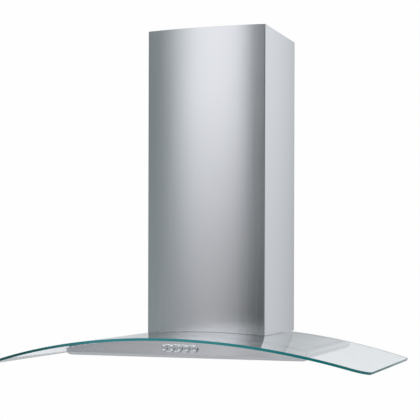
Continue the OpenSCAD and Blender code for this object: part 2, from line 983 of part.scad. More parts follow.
module lamp_lens() {
    translate([0, 0, panel_bottom - lamp_ring_t])
        cylinder(r = lamp_body_r - lamp_wall - 0.1, h = lens_t, $fn = round_fn);
}

module lamp_bulb() {
    top = panel_bottom + lamp_h - lamp_wall;
    translate([0, 0, top - 4]) cylinder(r = bulb_base_r, h = 6, $fn = round_fn);
    translate([0, 0, top - bulb_drop]) cylinder(r = bulb_r, h = bulb_drop - 3, $fn = round_fn);
    translate([0, 0, top - bulb_drop]) sphere(r = bulb_r, $fn = round_fn / 2);
}

module lamp_housing_right() {
    at_crown() color("gainsboro") translate([lamp_x, -lamp_y, 0]) lamp_housing();
}

module lamp_housing_left() {
    at_crown() color("gainsboro") translate([-lamp_x, -lamp_y, 0]) lamp_housing();
}

module lamp_lens_right() {
    at_crown() color("whitesmoke", 0.6) translate([lamp_x, -lamp_y, 0]) lamp_lens();
}

module lamp_lens_left() {
    at_crown() color("whitesmoke", 0.6) translate([-lamp_x, -lamp_y, 0]) lamp_lens();
}

module lamp_bulbs() {
    at_crown() color("lightyellow")
        for (side = [-1, 1])
            translate([side * lamp_x, -lamp_y, 0]) lamp_bulb();
}

module lamp_transformer() {
    lug = 6;
    at_crown() color("white")
        translate([transformer_x, transformer_y, panel_top]) {
            cube(transformer_size);
            translate([0, -lug, 0]) cube([12, transformer_size[1] + 2 * lug, 2]);
            translate([transformer_size[0] - 12, -lug, 0]) cube([12, transformer_size[1] + 2 * lug, 2]);
        }
}

module lamp_leads() {
    up = panel_top + lead_up;
    lane_y = -opening_back - opening_d - 7;
    start_x = transformer_x + transformer_size[0];
    lamp_side = lamp_body_r + lay;
    at_crown() color("black") {
        cable([[transformer_x, -lamp_y, up], [-lamp_x + lamp_side, -lamp_y, up]], lead_r, lead_bend);
        cable([[start_x, -lamp_y, up], [start_x + 7, -lamp_y, up], [start_x + 7, lane_y, up],
               [lamp_x - lamp_side - 12, lane_y, up], [lamp_x - lamp_side - 12, -lamp_y, up],
               [lamp_x - lamp_side, -lamp_y, up]], lead_r, lead_bend);
    }
}

// Cable along a route of straight runs with square turns, each turn a quarter ring
module cable(route, r, bend) {
    last = len(route) - 1;
    for (i = [0 : last - 1]) {
        way = route[i + 1] - route[i];
        length = norm(way);
        dir = way / length;
        start = i == 0 ? 0 : bend;
        end = i == last - 1 ? length : length - bend;
        translate(route[i] + dir * start)
            frame_to(dir) cylinder(r = r, h = end - start, $fn = round_fn / 2);
    }
    if (last > 1)
        for (i = [1 : last - 1])
            cable_turn(route[i - 1], route[i], route[i + 1], r, bend);
}

// Turns the Z axis to a direction along one of the axes
module frame_to(dir) {
    if (abs(dir[0]) > 0.5)
        rotate([0, dir[0] > 0 ? 90 : -90, 0]) children();
    else if (abs(dir[1]) > 0.5)
        rotate([dir[1] > 0 ? -90 : 90, 0, 0]) children();
    else
        rotate([dir[2] > 0 ? 0 : 180, 0, 0]) children();
}

module cable_turn(before, at, after, r, bend) {
    dir_in = (at - before) / norm(at - before);
    dir_out = (after - at) / norm(after - at);
    side = cross(dir_in, dir_out);
    centre = at + bend * (dir_out - dir_in);
    multmatrix([
        [-dir_out[0], dir_in[0], side[0], centre[0]],
        [-dir_out[1], dir_in[1], side[1], centre[1]],
        [-dir_out[2], dir_in[2], side[2], centre[2]],
        [0, 0, 0, 1]
    ])
        mirror([0, 0, 1])
            rotate_extrude(angle = 90, $fn = round_fn)
                translate([bend, 0]) circle(r = r, $fn = round_fn / 2);
}

// Motor box

module motor_box() {
    outlet_half = volute_w / 2;
    channel_front = wheel_back + volute_out;
    channel_back = wheel_back + channel_in;
    flange_half = box_w / 2 + box_flange;
    at_crown() color("lightgray")
        difference() {
            union() {
                difference() {
                    translate([-box_w / 2, -box_d, -glass_drop]) cube([box_w, box_d, box_h + glass_drop]);
                    translate([-box_w / 2 + box_t, -box_d + box_t, -glass_drop - eps])
                        cube([box_w - 2 * box_t, box_d - 2 * box_t, box_h + glass_drop + eps - box_t]);
                    under_arch(flange_bottom);
                }
                intersection() {
                    arch_sheet(flange_top, flange_bottom);
                    canopy_prism()
                        difference() {
                            plan_box(-flange_half, -box_d - box_flange, flange_half,
                                     -body_back - body_t - 1);
                            plan_box(-box_w / 2 + box_t, -box_d + box_t, box_w / 2 - box_t, eps);
                        }
                }
            }
            translate([-outlet_half, -channel_front, box_h - box_t - eps])
                cube([2 * outlet_half, channel_front - channel_back, box_t + 2 * eps]);
            wall_holes();
            outlet_screw_holes();
            bush_holes(screw_r + bush_play);
            translate([-box_w / 2 - eps, harness_y, harness_up])
                rotate([0, 90, 0])
                    cylinder(r = harness_d / 2 + harness_gap, h = box_t + 2 * eps, $fn = round_fn);
        }
}

module wall_holes() {
    for (x = [-1, 1])
        for (z = [-1, 1])
            translate([x * wall_hole_x / 2, eps, wall_fix_up + z * wall_hole_z / 2])
                rotate([90, 0, 0]) cylinder(r = wall_hole_d / 2, h = box_t + 2 * eps, $fn = round_fn);
}

module outlet_screw_places() {
    for (x = [-1, 1])
        for (y = [-1, 1])
            translate([x * outlet_screw_at, -outlet_back + y * outlet_screw_at, 0]) children();
}

module outlet_screw_holes() {
    outlet_screw_places()
        translate([0, 0, box_h - 10]) cylinder(r = outlet_hole_r, h = 20, $fn = round_fn);
}

// Blower: a volute drawn about the impeller's axis, as distance from the wall and height

module at_wheel() {
    at_crown() translate([0, -wheel_back, wheel_up]) children();
}

// Inside of the volute, or with grow the outside of its sheet
module volute_outline(grow, top) {
    c = volute_half;
    r1 = volute_r + grow;
    r2 = r1 + volute_step;
    r3 = r2 + volute_step;
    big = 2 * volute_r;
    intersection() {
        translate([-c, -c]) circle(r = r1, $fn = round_fn * 3);
        translate([-c - big, -c]) square([big, big]);
    }
    intersection() {
        translate([c, -c]) circle(r = r2, $fn = round_fn * 3);
        translate([c - big, -c - big]) square([big, big]);
    }
    intersection() {
        translate([c, c]) circle(r = r3, $fn = round_fn * 3);
        translate([c, c - big]) square([big, big]);
    }
    translate([-c, -c]) square([channel_in - grow + c, r1]);
    translate([channel_in - grow, 0]) square([c + r3 - channel_in + grow, top]);
}

module volute_wrap() {
    rim = 9;
    rim_t = 1.2;
    at_wheel() color("lightsteelblue") {
        along_x(volute_w)
            difference() {
                volute_outline(volute_t, volute_top);
                volute_outline(0, volute_top + eps);
            }
        translate([0, 0, volute_top - rim_t])
            linear_extrude(height = rim_t)
                difference() {
                    plan_box(-volute_w / 2, -volute_out - rim, volute_w / 2, -channel_in + rim);
                    plan_box(-volute_w / 2 - eps, -volute_out, volute_w / 2 + eps, -channel_in);
                }
    }
}

module volute_side(side) {
    at_wheel() color("lightsteelblue")
        translate([side * (volute_w / 2 + volute_t / 2), 0, 0])
            difference() {
                along_x(volute_t) volute_outline(side_rim, volute_top);
                rotate([0, 90, 0])
                    cylinder(r = inlet_r + bell_r + 0.5, h = volute_t + 2 * eps, center = true,
                             $fn = round_fn);
                if (side > 0)
                    rotate([0, 90, 0])
                        for (a = post_angles)
                            rotate(a) translate([post_at, 0, 0])
                                cylinder(r = post_hole_r, h = 2 * volute_t + eps, center = true,
                                         $fn = round_fn);
            }
}

module volute_side_left() {
    volute_side(-1);
}

module volute_side_right() {
    volute_side(1);
}

// Bell mouth in half section: radius, and distance in from its outer face
module bell_section() {
    difference() {
        translate([inlet_r + bell_r, bell_r]) circle(r = bell_r, $fn = round_fn);
        translate([inlet_r + bell_r, bell_r]) circle(r = bell_r - bell_t, $fn = round_fn);
        translate([inlet_r + bell_r, -eps]) square([2 * bell_r, 3 * bell_r]);
        translate([inlet_r - eps, bell_r]) square([3 * bell_r, 2 * bell_r]);
    }
    translate([inlet_r + bell_r - lay, 0]) square([6 + lay, bell_t]);
}

module inlet_ring(side) {
    at_wheel() color("lightsteelblue")
        translate([side * (volute_w / 2 + volute_t + bell_t), 0, 0])
            rotate([0, -side * 90, 0])
                rotate_extrude($fn = round_fn * 2) bell_section();
}

module inlet_ring_left() {
    inlet_ring(-1);
}

module inlet_ring_right() {
    inlet_ring(1);
}

// Forward curved blade in section, following an arc from the inner to the outer radius
module blade_section() {
    steps = 5;
    lean = 8;
    sweep = 50;
    inner = [for (k = [0 : steps]) blade_point(k / steps, 0, lean, sweep)];
    outer = [for (k = [steps : -1 : 0]) blade_point(k / steps, blade_t, lean, sweep)];
    polygon(concat(inner, outer));
}

function blade_point(at, across, lean, sweep) =
    let (radius = wheel_r - blade_depth + at * blade_depth - 0.3 * (at * 2 - 1),
         bend = (lean + sweep * at * at) * blade_depth / wheel_r / 2 + across * 180 / PI / radius)
    [radius * cos(bend), radius * sin(bend)];

module impeller() {
    ring_t = 2;
    disc_t = 2;
    inner_r = wheel_r - blade_depth;
    at_wheel() color("slategray")
        rotate([0, 90, 0])
            difference() {
                union() {
                    linear_extrude(height = wheel_w, center = true)
                        for (i = [0 : blade_count - 1])
                            rotate(i * 360 / blade_count) blade_section();
                    for (side = [-1, 1])
                        translate([0, 0, side * (wheel_w / 2 - ring_t / 2)])
                            difference() {
                                cylinder(r = wheel_r, h = ring_t, center = true, $fn = round_fn * 2);
                                cylinder(r = inner_r, h = ring_t + eps, center = true, $fn = round_fn * 2);
                            }
                    cylinder(r = wheel_r, h = disc_t, center = true, $fn = round_fn * 2);
                    translate([0, 0, -hub_r - 2]) cylinder(r = hub_r, h = hub_r + 2, $fn = round_fn);
                }
                cylinder(r = shaft_d / 2 + 0.01, h = 4 * hub_r, center = true, $fn = round_fn);
            }
}

module motor() {
    fin_count = 16;
    fin_gap = 4;
    fin_deep = 3;
    fin_end = 14;
    boss = 4;
    length = motor_out - motor_in;
    bore = shaft_d / 2 + running;
    at_wheel() color("gray")
        translate([motor_in, 0, 0])
            rotate([0, 90, 0])
                difference() {
                    union() {
                        rotate_extrude($fn = round_fn * 2) motor_section(length);
                        translate([0, 0, -boss]) cylinder(r = shaft_d, h = boss + eps, $fn = round_fn);
                    }
                    translate([0, 0, -boss - eps]) cylinder(r = bore, h = length + boss, $fn = round_fn);
                    for (i = [0 : fin_count - 1])
                        rotate(i * 360 / fin_count)
                            translate([motor_r - fin_deep, -fin_gap / 2, fin_end])
                                cube([2 * fin_deep, fin_gap, length - 2 * fin_end]);
                }
}

// Half section of the motor's shell, with a rounded inner end
module motor_section(length) {
    round_r = 10;
    translate([0, round_r]) square([motor_r, length - round_r]);
    square([motor_r - round_r, length]);
    intersection() {
        translate([motor_r - round_r, round_r]) circle(r = round_r, $fn = round_fn);
        square([motor_r, length]);
    }
}

module motor_shaft() {
    start = -hub_r - 5;
    end = motor_out - 6;
    at_wheel() color("silver")
        translate([start, 0, 0])
            rotate([0, 90, 0]) cylinder(r = shaft_d / 2, h = end - start, $fn = round_fn);
}

module motor_bracket() {
    post_start = volute_w / 2 + volute_t + lay;
    plate_in = motor_out;
    at_wheel() color("lightsteelblue") {
        translate([plate_in, 0, 0])
            rotate([0, 90, 0])
                difference() {
                    union() {
                        cylinder(r = motor_r - 2, h = bracket_plate_t, $fn = round_fn);
                        for (a = post_angles)
                            rotate(a) translate([0, -6, 0]) cube([post_at, 12, bracket_plate_t]);
                        for (a = post_angles)
                            rotate(a) translate([post_at, 0, 0])
                                cylinder(r = 6, h = bracket_plate_t, $fn = round_fn);
                    }
                    translate([0, 0, -eps]) cylinder(r = 14, h = bracket_plate_t + 2 * eps, $fn = round_fn);
                    for (a = post_angles)
                        rotate(a) translate([post_at, 0, -eps])
                            cylinder(r = post_hole_r, h = bracket_plate_t + 2 * eps, $fn = round_fn);
                }
        translate([post_start, 0, 0])
            rotate([0, 90, 0])
                for (a = post_angles)
                    rotate(a) translate([post_at, 0, 0])
                        difference() {
                            cylinder(r = post_r, h = plate_in - post_start + eps, $fn = round_fn);
                            translate([0, 0, -eps]) cylinder(r = post_hole_r, h = plate_in, $fn = round_fn);
                        }
    }
}

module motor_bracket_screws() {
    at_wheel() color("silver")
        translate([motor_out + bracket_plate_t + lay, 0, 0])
            rotate([0, 90, 0])
                for (a = post_angles)
                    rotate(a) translate([post_at, 0, 0])
                        pan_screw(post_screw_r, 2 * post_screw_r, motor_out + bracket_plate_t - volute_w / 2);
}

// Outlet collar with its two non-return flaps

module outlet_collar() {
    half = collar_r + collar_flange;
    ledge_z = pin_z - flap_t / 2 - seat;
    at_crown() color("dimgray")
        translate([0, -outlet_back, 0])
            difference() {
                union() {
                    translate([-half, -half, collar_base]) cube([2 * half, 2 * half, collar_flange_t]);
                    translate([0, 0, collar_base]) cylinder(r = collar_r, h = collar_h, $fn = round_fn * 2);
                }
                translate([0, 0, collar_base - eps])
                    cylinder(r = collar_r - collar_t, h = ledge_z - collar_base + eps - collar_ledge_t,
                             $fn = round_fn * 2);
                translate([0, 0, collar_base])
                    cylinder(r = collar_r - collar_t - collar_ledge, h = collar_h, $fn = round_fn * 2);
                translate([0, 0, ledge_z])
                    cylinder(r = collar_r - collar_t, h = collar_h, $fn = round_fn * 2);
                translate([0, 0, pin_z]) rotate([0, 90, 0])
                    cylinder(r = pin_r + running, h = 2 * collar_r + eps, center = true, $fn = round_fn);
                for (x = [-1, 1])
                    for (y = [-1, 1])
                        translate([x * outlet_screw_at, y * outlet_screw_at, collar_base - eps])
                            cylinder(r = outlet_hole_r, h = 10, $fn = round_fn);
            }
}

module outlet_screws() {
    at_crown() color("silver")
        outlet_screw_places()
            translate([0, 0, collar_base + collar_flange_t + lay]) pan_screw(2, 3.5, 8);
}

module flap_pin() {
    at_crown() color("silver")
        translate([0, -outlet_back, pin_z])
            rotate([0, 90, 0]) cylinder(r = pin_r, h = 2 * collar_r - 0.4, center = true, $fn = round_fn);
}

// Half disc with its two hinge barrels, drawn on the room side of the pin
module flap_half() {
    difference() {
        union() {
            translate([0, 0, -flap_t / 2])
                linear_extrude(height = flap_t)
                    difference() {
                        intersection() {
                            circle(r = flap_r, $fn = round_fn * 2);
                            plan_box(-flap_r, -flap_r, flap_r, 0);
                        }
                        difference() {
                            plan_box(-collar_r, -flap_start, collar_r, eps);
                            for (b = barrel_starts)
                                plan_box(b, -flap_start - eps, b + barrel_length, eps);
                        }
                    }
            for (b = barrel_starts)
                translate([b, 0, 0])
                    rotate([0, 90, 0]) cylinder(r = barrel_r, h = barrel_length, $fn = round_fn);
        }
        rotate([0, 90, 0]) cylinder(r = pin_r + running, h = 2 * collar_r, center = true, $fn = round_fn);
    }
}

module front_flap() {
    at_crown() color("gray") translate([0, -outlet_back, pin_z]) flap_half();
}

module rear_flap() {
    at_crown() color("gray") translate([0, -outlet_back, pin_z]) rotate([0, 0, 180]) flap_half();
}

// Electrical parts on and in the motor box

module junction_box() {
    at_crown() color("whitesmoke")
        translate([-box_w / 2 - junction_out, junction_y, junction_up])
            difference() {
                cube(junction_size);
                translate([-eps, junction_wall, junction_wall])
                    cube([junction_out - junction_wall + eps, junction_size[1] - 2 * junction_wall,
                          junction_size[2] - 2 * junction_wall]);
                translate([junction_out / 2, junction_size[1] / 2, junction_size[2] - junction_wall - eps])
                    cylinder(r = gland_bore / 2 + gland_wall + 2 * lay, h = 10, $fn = round_fn);
                translate([junction_out - junction_wall - eps, junction_size[1] / 2,
                           harness_up - junction_up])
                    rotate([0, 90, 0])
                        cylinder(r = harness_d / 2 + harness_gap, h = 10, $fn = round_fn);
            }
}

module junction_lid() {
    at_crown() color("white")
        translate([-box_w / 2 - junction_out - junction_lid_t, junction_y, junction_up])
            cube([junction_lid_t, junction_size[1], junction_size[2]]);
}

module mains_gland() {
    r = gland_bore / 2;
    base = junction_up + junction_size[2];
    at_crown() color("black")
        translate([-box_w / 2 - junction_out / 2, junction_y + junction_size[1] / 2, base])
            difference() {
                union() {
                    translate([0, 0, -6]) cylinder(r = r + gland_wall, h = 8, $fn = round_fn);
                    cylinder(r = r + 2 * gland_wall, h = 5, $fn = 6);
                    translate([0, 0, 5]) cylinder(r = r + 1.5 * gland_wall, h = 8, $fn = round_fn);
                }
                translate([0, 0, -bore_depth]) cylinder(r = r, h = 2 * bore_depth, $fn = round_fn);
            }
}

module capacitor() {
    r = capacitor_d / 2;
    at_crown() color("white")
        translate(capacitor_at) {
            cylinder(r = r, h = capacitor_h, $fn = round_fn);
            translate([0, 0, -5]) cylinder(r = 4, h = 6, $fn = round_fn);
        }
}

module capacitor_clip() {
    r = capacitor_d / 2 + lay;
    wall = 1.2;
    wall_y = -(box_d - box_t) + lay - capacitor_at[1];
    at_crown() color("gainsboro")
        translate([capacitor_at[0], capacitor_at[1], capacitor_at[2] + capacitor_h / 2 - 8])
            linear_extrude(height = 16)
                difference() {
                    union() {
                        circle(r = r + wall, $fn = round_fn);
                        plan_box(-r, wall_y, r, wall_y + wall);
                        plan_box(-4, wall_y, 4, -r);
                    }
                    circle(r = r, $fn = round_fn);
                }
}

module wiring_harness() {
    r = harness_d / 2;
    bend = 9;
    x0 = controls_x - 20;
    under = button_z + 7;
    rise_y = -(box_d - box_t) + r + 4;
    side_x = -box_w / 2 + box_t + 14;
    at_crown() color("black")
        cable([
            [x0, -block_front + block_d + lay, under],
            [x0, rise_y, under],
            [x0, rise_y, harness_up],
            [side_x, rise_y, harness_up],
            [side_x, harness_y, harness_up],
            [-box_w / 2 - junction_wall - 6, harness_y, harness_up]
        ], r, bend);
}

glass_canopy();
glass_gasket();
glass_bushes();
glass_screws();
glass_nuts();
lower_cover();
upper_cover();
lower_cover_bracket();
upper_cover_bracket();
body_shell();
body_roof();
base_panel();
control_bezel();
off_button();
speed_1_button();
speed_2_button();
speed_3_button();
light_button();
switch_block();
switch_bracket();
filter_frame_left();
filter_frame_right();
filter_mesh_left();
filter_mesh_right();
filter_latch_left();
filter_latch_right();
lamp_housing_left();
lamp_housing_right();
lamp_lens_left();
lamp_lens_right();
lamp_bulbs();
lamp_transformer();
lamp_leads();
motor_box();
volute_wrap();
volute_side_left();
volute_side_right();
inlet_ring_left();
inlet_ring_right();
impeller();
motor();
motor_shaft();
motor_bracket();
motor_bracket_screws();
outlet_collar();
outlet_screws();
flap_pin();
front_flap();
rear_flap();
junction_box();
junction_lid();
mains_gland();
capacitor();
capacitor_clip();
wiring_harness();
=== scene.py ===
import math

import bpy
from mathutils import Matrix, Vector


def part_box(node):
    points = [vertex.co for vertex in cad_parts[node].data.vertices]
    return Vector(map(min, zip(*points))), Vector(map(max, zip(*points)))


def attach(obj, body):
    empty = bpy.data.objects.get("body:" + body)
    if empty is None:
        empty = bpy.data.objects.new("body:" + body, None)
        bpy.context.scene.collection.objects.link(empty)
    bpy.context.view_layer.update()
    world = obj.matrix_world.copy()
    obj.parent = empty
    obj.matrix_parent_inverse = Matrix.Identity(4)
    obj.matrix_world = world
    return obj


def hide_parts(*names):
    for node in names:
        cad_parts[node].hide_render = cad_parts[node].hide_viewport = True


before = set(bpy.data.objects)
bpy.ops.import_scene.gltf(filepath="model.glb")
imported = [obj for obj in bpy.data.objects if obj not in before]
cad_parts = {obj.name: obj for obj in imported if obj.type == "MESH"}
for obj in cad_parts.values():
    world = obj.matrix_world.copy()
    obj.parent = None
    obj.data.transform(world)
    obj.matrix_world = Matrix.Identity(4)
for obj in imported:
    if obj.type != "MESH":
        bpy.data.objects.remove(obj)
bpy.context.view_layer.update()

bl_info = {
    "name": "Wall mount range hood",
    "version": (1, 0, 0),
    "blender": (4, 5, 0),
    "location": "View3D > Sidebar > Range Hood",
    "description": "Dresses a wall mount range hood with an arched glass canopy",
    "category": "Add Mesh",
}

MM = 0.001
glass_low, glass_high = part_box("glass_canopy")
box_low, box_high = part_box("motor_box")
CROWN = glass_high.z
BUSH_FLANGE = 9 * MM
BUSH_HOLE = 5.5 * MM
BUSH_FRONT_X = 70 * MM
BUSH_MIDDLE_Y = -190 * MM
# Depth of the covers' bowed front with its bends
COVER_BOW = 15 * MM
# How fast the covers' flat sides fall away from their middle, per metre
SIDE_FLEX = 0.4
# The body's sheet comes out a little lighter than the covers'
BODY_SHEET = 1.14
BUTTONS = ["off_button", "speed_1_button", "speed_2_button", "speed_3_button", "light_button"]
# A button's stem and flange, and how far its tip stands before the flange
BUTTON_STEM = 4 * MM
BUTTON_FLANGE = 1.5 * MM
BUTTON_FLANGE_OUT = 1 * MM
BUTTON_STAND = 6.9 * MM
# How far the bead reaches over the bezel's outline
BEAD_OUT = 0.1 * MM
# Sheet and lean of the expanded metal, and how much longer than its pitch a diamond is
MESH_SHEET = 0.6 * MM
MESH_LEAN = 0.7 * MM
MESH_KNUCKLE = 1.12
# Ribs of the lamp lens
LENS_RIB = 0.5 * MM
LENS_MARGIN = 3 * MM
LENS_PITCH = 4 * MM
# Points of the flat glass that lie closer than this become one
MERGE = 0.02 * MM
# Sides of the circle that draws the glass's front edge, and of the drum that the glass is bent over
PLAN_SIDES = 2048
DRUM_SIDES = 16384
# Steps round a button's edge, and the rings of its dish as shares of the face's radius
EDGE_STEPS = 4
DISH_RINGS = (0.85, 0.65, 0.42, 0.15)
# The middle range of a noise, which a finish spreads over its two roughnesses
PATTERN_RANGE = (0.3, 0.7)
# Width and length of the drawn scratches of brushed steel, in millimetres
SCRATCH_GAP = 1.4286
SCRATCH_LENGTH = 250
# Where the painted shade on the glass's cut edge starts to deepen its colour and where it is deepest, from the
# middle
EDGE_SHADE_DEEPENS = (120 * MM, 380 * MM)
# Place of the camera, its turn in degrees, its lens in millimetres and its shift
CAMERA_PLACE = (0.991, -2.997, 0.0305)
CAMERA_TURN = (90, -0.147, 19.65)
CAMERA_LENS = 103.7
CAMERA_SHIFT = 0.131
# The point that both lamps look at
LAMP_AIM = Vector((0, -0.2, 0.1))
# Strength of the room's plain light, and how far the softbox's right edge leans with the height
ROOM_LIGHT = 0.75
SOFTBOX_LEAN = 0.15


def srgb(text):
    """Linear colour from an sRGB hex value."""
    parts = [int(text[i:i + 2], 16) / 255 for i in (1, 3, 5)]
    return tuple(c / 12.92 if c <= 0.04045 else ((c + 0.055) / 1.055) ** 2.4 for c in parts)


def rgba(text):
    """The same with an alpha of one."""
    return (*srgb(text), 1.0)


class HoodSizes(bpy.types.PropertyGroup):
    """Sizes that can be changed without touching the fixed structure"""
    glass_thickness: bpy.props.FloatProperty(
        name="Glass thickness", description="Thickness of the bent sheet",
        default=6 * MM, min=4 * MM, max=8 * MM, unit='LENGTH')
    glass_arris: bpy.props.FloatProperty(
        name="Polished arris", description="Width of the bevel ground along the cut edge",
        default=0.6 * MM, min=0.3 * MM, max=1.5 * MM, unit='LENGTH')
    front_corner: bpy.props.FloatProperty(
        name="Front corner radius", description="Radius of the glass's two front corners in plan",
        default=48 * MM, min=20 * MM, max=60 * MM, unit='LENGTH')
    rear_corner: bpy.props.FloatProperty(
        name="Rear corner radius", description="Radius of the glass's two rear corners in plan",
        default=5 * MM, min=3 * MM, max=12 * MM, unit='LENGTH')
    glass_bow: bpy.props.FloatProperty(
        name="Bow of the front edge", description="How far its ends lie behind its middle",
        default=52 * MM, min=20 * MM, max=80 * MM, unit='LENGTH')
    notch_gap: bpy.props.FloatProperty(
        name="Notch clearance", description="Gap between the motor box and the glass",
        default=4 * MM, min=2 * MM, max=6 * MM, unit='LENGTH')
    notch_corner: bpy.props.FloatProperty(
        name="Notch corner radius", description="Radius of the inner corners of the glass's cut-out",
        default=8 * MM, min=4 * MM, max=9 * MM, unit='LENGTH')
    button_edge: bpy.props.FloatProperty(
        name="Button edge radius", description="Rounding round the face of a push button",
        default=1.2 * MM, min=0.5 * MM, max=2 * MM, unit='LENGTH')
    button_dish: bpy.props.FloatProperty(
        name="Button dish", description="How deep the face of a push button is hollowed",
        default=0.45 * MM, min=0.1 * MM, max=1 * MM, unit='LENGTH')
    bead: bpy.props.FloatProperty(
        name="Bezel bead", description="Radius of the polished bead round the buttons",
        default=0.65 * MM, min=0.4 * MM, max=0.9 * MM, unit='LENGTH')
    mesh_cell: bpy.props.FloatVectorProperty(
        name="Filter mesh cell", description="Length and width of one diamond of the expanded metal",
        size=2, default=(12.5 * MM, 7.6 * MM), min=4 * MM, max=25 * MM, unit='LENGTH')
    mesh_strand: bpy.props.FloatProperty(
        name="Filter mesh strand", description="Width of one strand of the expanded metal",
        default=1.3 * MM, min=0.6 * MM, max=2.5 * MM, unit='LENGTH')
    floor_drop: bpy.props.FloatProperty(
        name="Height above the floor", description="From the floor to the wall holes",
        default=1.78, min=1.2, max=2.2, unit='LENGTH')


class HoodColours(bpy.types.PropertyGroup):
    """Colours of the finishes, and of the painted shade on the glass's cut edge"""
    steel: bpy.props.FloatVectorProperty(
        name="Stainless steel", description="Tint of the brushed sheet",
        subtype='COLOR', size=3, default=srgb("#cfd0d2"), min=0, max=1)
    glass_edge: bpy.props.FloatVectorProperty(
        name="Glass edge", description="Colour of float glass seen through its cut edge",
        subtype='COLOR', size=3, default=srgb("#2f7e84"), min=0, max=1)
    # Painted shade: the darker colour painted on the cut edge towards its ends
    glass_end_shade: bpy.props.FloatVectorProperty(
        name="Glass edge at the ends", description="Colour of the cut edge where less light reaches it",
        subtype='COLOR', size=3, default=srgb("#0a6769"), min=0, max=1)
    backdrop: bpy.props.FloatVectorProperty(
        name="Backdrop", description="Colour behind the hood",
        subtype='COLOR', size=3, default=srgb("#fefefe"), min=0, max=1)


def add_node(tree, kind, inputs=None, **settings):
    """Adds a node with its settings, its values and the links that come in. Where an input is given
    as a node, the link starts at that node's first output in use."""
    made = tree.nodes.new("ShaderNode" + kind)
    for name, value in settings.items():
        setattr(made, name, value)
    for key, value in (inputs or {}).items():
        if isinstance(value, bpy.types.Node):
            value = next(socket for socket in value.outputs if socket.enabled)
        if isinstance(value, bpy.types.NodeSocket):
            tree.links.new(value, made.inputs[key])
        else:
            made.inputs[key].default_value = value
    return made


def new_material(name):
    """Material without nodes."""
    material = bpy.data.materials.new(name)
    material.use_nodes = True
    material.node_tree.nodes.clear()
    return material, material.node_tree


def shade(tree, inputs):
    """Closes a material with one Principled shader."""
    shader = add_node(tree, "BsdfPrincipled", inputs)
    add_node(tree, "OutputMaterial", {"Surface": shader})


def pattern(tree, spacing, kind="TexNoise", **inputs):
    """Texture on the piece's own coordinates. spacing is its size in millimetres, one for all
    directions or one each along X, Y and Z."""
    if not isinstance(spacing, tuple):
        spacing = (spacing,) * 3
    place = add_node(tree, "TexCoord")
    repeats = tuple(1 / (size * MM) for size in spacing)
    mapped = add_node(tree, "Mapping", {"Vector": place.outputs["Object"], "Scale": repeats})
    return add_node(tree, kind, {"Vector": mapped, "Scale": 1.0, **inputs})


def varied(tree, source, colours=None, rough=None, relief=None):
    """The shader inputs that a pattern varies: it mixes two colours, its middle range runs between
    two roughnesses, and relief is its depth in millimetres and its strength."""
    inputs = {}
    if colours:
        inputs["Base Color"] = add_node(
            tree, "Mix", {"Factor": source, "A": rgba(colours[0]), "B": rgba(colours[1])}, data_type='RGBA')
    if rough:
        inputs["Roughness"] = add_node(tree, "MapRange", {
            "Value": source, "From Min": PATTERN_RANGE[0], "From Max": PATTERN_RANGE[1],
            "To Min": rough[0], "To Max": rough[1]})
    if relief:
        inputs["Normal"] = add_node(tree, "Bump", {
            "Height": source, "Distance": relief[0] * MM, "Strength": relief[1]})
    return inputs


def scaled(colour, share):
    """A linear colour made darker or lighter, with its alpha."""
    return (*[part * share for part in colour], 1)


# Finishes


def brushed_stainless(name, steel, rough, across, bulge=None):
    """Stainless sheet ground with a fine belt: parallel scratches that soften every reflection.
    The real scratches are about 0.1 mm apart; they are drawn about 1.4 mm apart so that they show.

    across holds the axes across the scratches. Where these are Y and Z, the grain lies level:
    reflections smear up and down and stay crisp from side to side. bulge holds the front end and
    the middle of thin flat sides, which flex outwards between their folds.
    """
    material, tree = new_material(name)
    spacing = tuple(SCRATCH_GAP if axis in across else SCRATCH_LENGTH for axis in range(3))
    scratches = pattern(tree, spacing, Detail=3.0, Roughness=0.6)
    ground = add_node(tree, "Mix", {
        "Factor": scratches, "A": scaled(steel, 0.96), "B": scaled(steel, 1.04)}, data_type='RGBA')
    fine = varied(tree, scratches, rough=(rough - 0.015, rough + 0.015), relief=(0.01, 0.1))
    broad = varied(tree, pattern(tree, 333.33), rough=(-0.02, 0.02))
    uneven = add_node(tree, "Math", {0: fine["Roughness"], 1: broad["Roughness"]}, operation='ADD')
    inputs = {"Metallic": 1.0, "Anisotropic": 0.25, "Base Color": ground, "Roughness": uneven,
              "Normal": fine["Normal"]}
    if across == (1, 2):
        inputs["Anisotropic"] = 0.75
        inputs["Tangent"] = add_node(tree, "Tangent", direction_type='RADIAL', axis='X')
    if bulge is not None:
        place = add_node(tree, "TexCoord")
        parts = add_node(tree, "SeparateXYZ", {0: place.outputs["Object"]})
        sides = add_node(tree, "Math", {0: parts.outputs["Y"], 1: bulge[0]}, operation='MAXIMUM')
        away = add_node(tree, "Math", {0: sides, 1: bulge[1]}, operation='SUBTRACT')
        bent = add_node(tree, "Math", {0: away, 1: away}, operation='MULTIPLY')
        fall = add_node(tree, "Math", {0: bent, 1: -SIDE_FLEX}, operation='MULTIPLY')
        inputs["Normal"] = add_node(tree, "Bump", {
            "Height": fall, "Distance": 1.0, "Strength": 1.0, "Normal": fine["Normal"]})
    shade(tree, inputs)
    return material


def galvanised_sheet():
    """Hot dip galvanised sheet, its spangle kept small: dull grey with frosty crystals about 2.4 mm
    across, each with a tone and a gloss of its own."""
    material, tree = new_material("galvanised sheet")
    crystals = pattern(tree, 2.3529, "TexVoronoi", Randomness=1.0)
    shade(tree, {
        "Metallic": 1.0,
        "Base Color": add_node(tree, "Mix", {
            "Factor": crystals.outputs["Color"], "A": rgba("#9da3a6"), "B": rgba("#b9bec1")}, data_type='RGBA'),
        "Roughness": add_node(tree, "MapRange", {
            "Value": crystals.outputs["Distance"], "To Min": 0.34, "To Max": 0.5})})
    return material


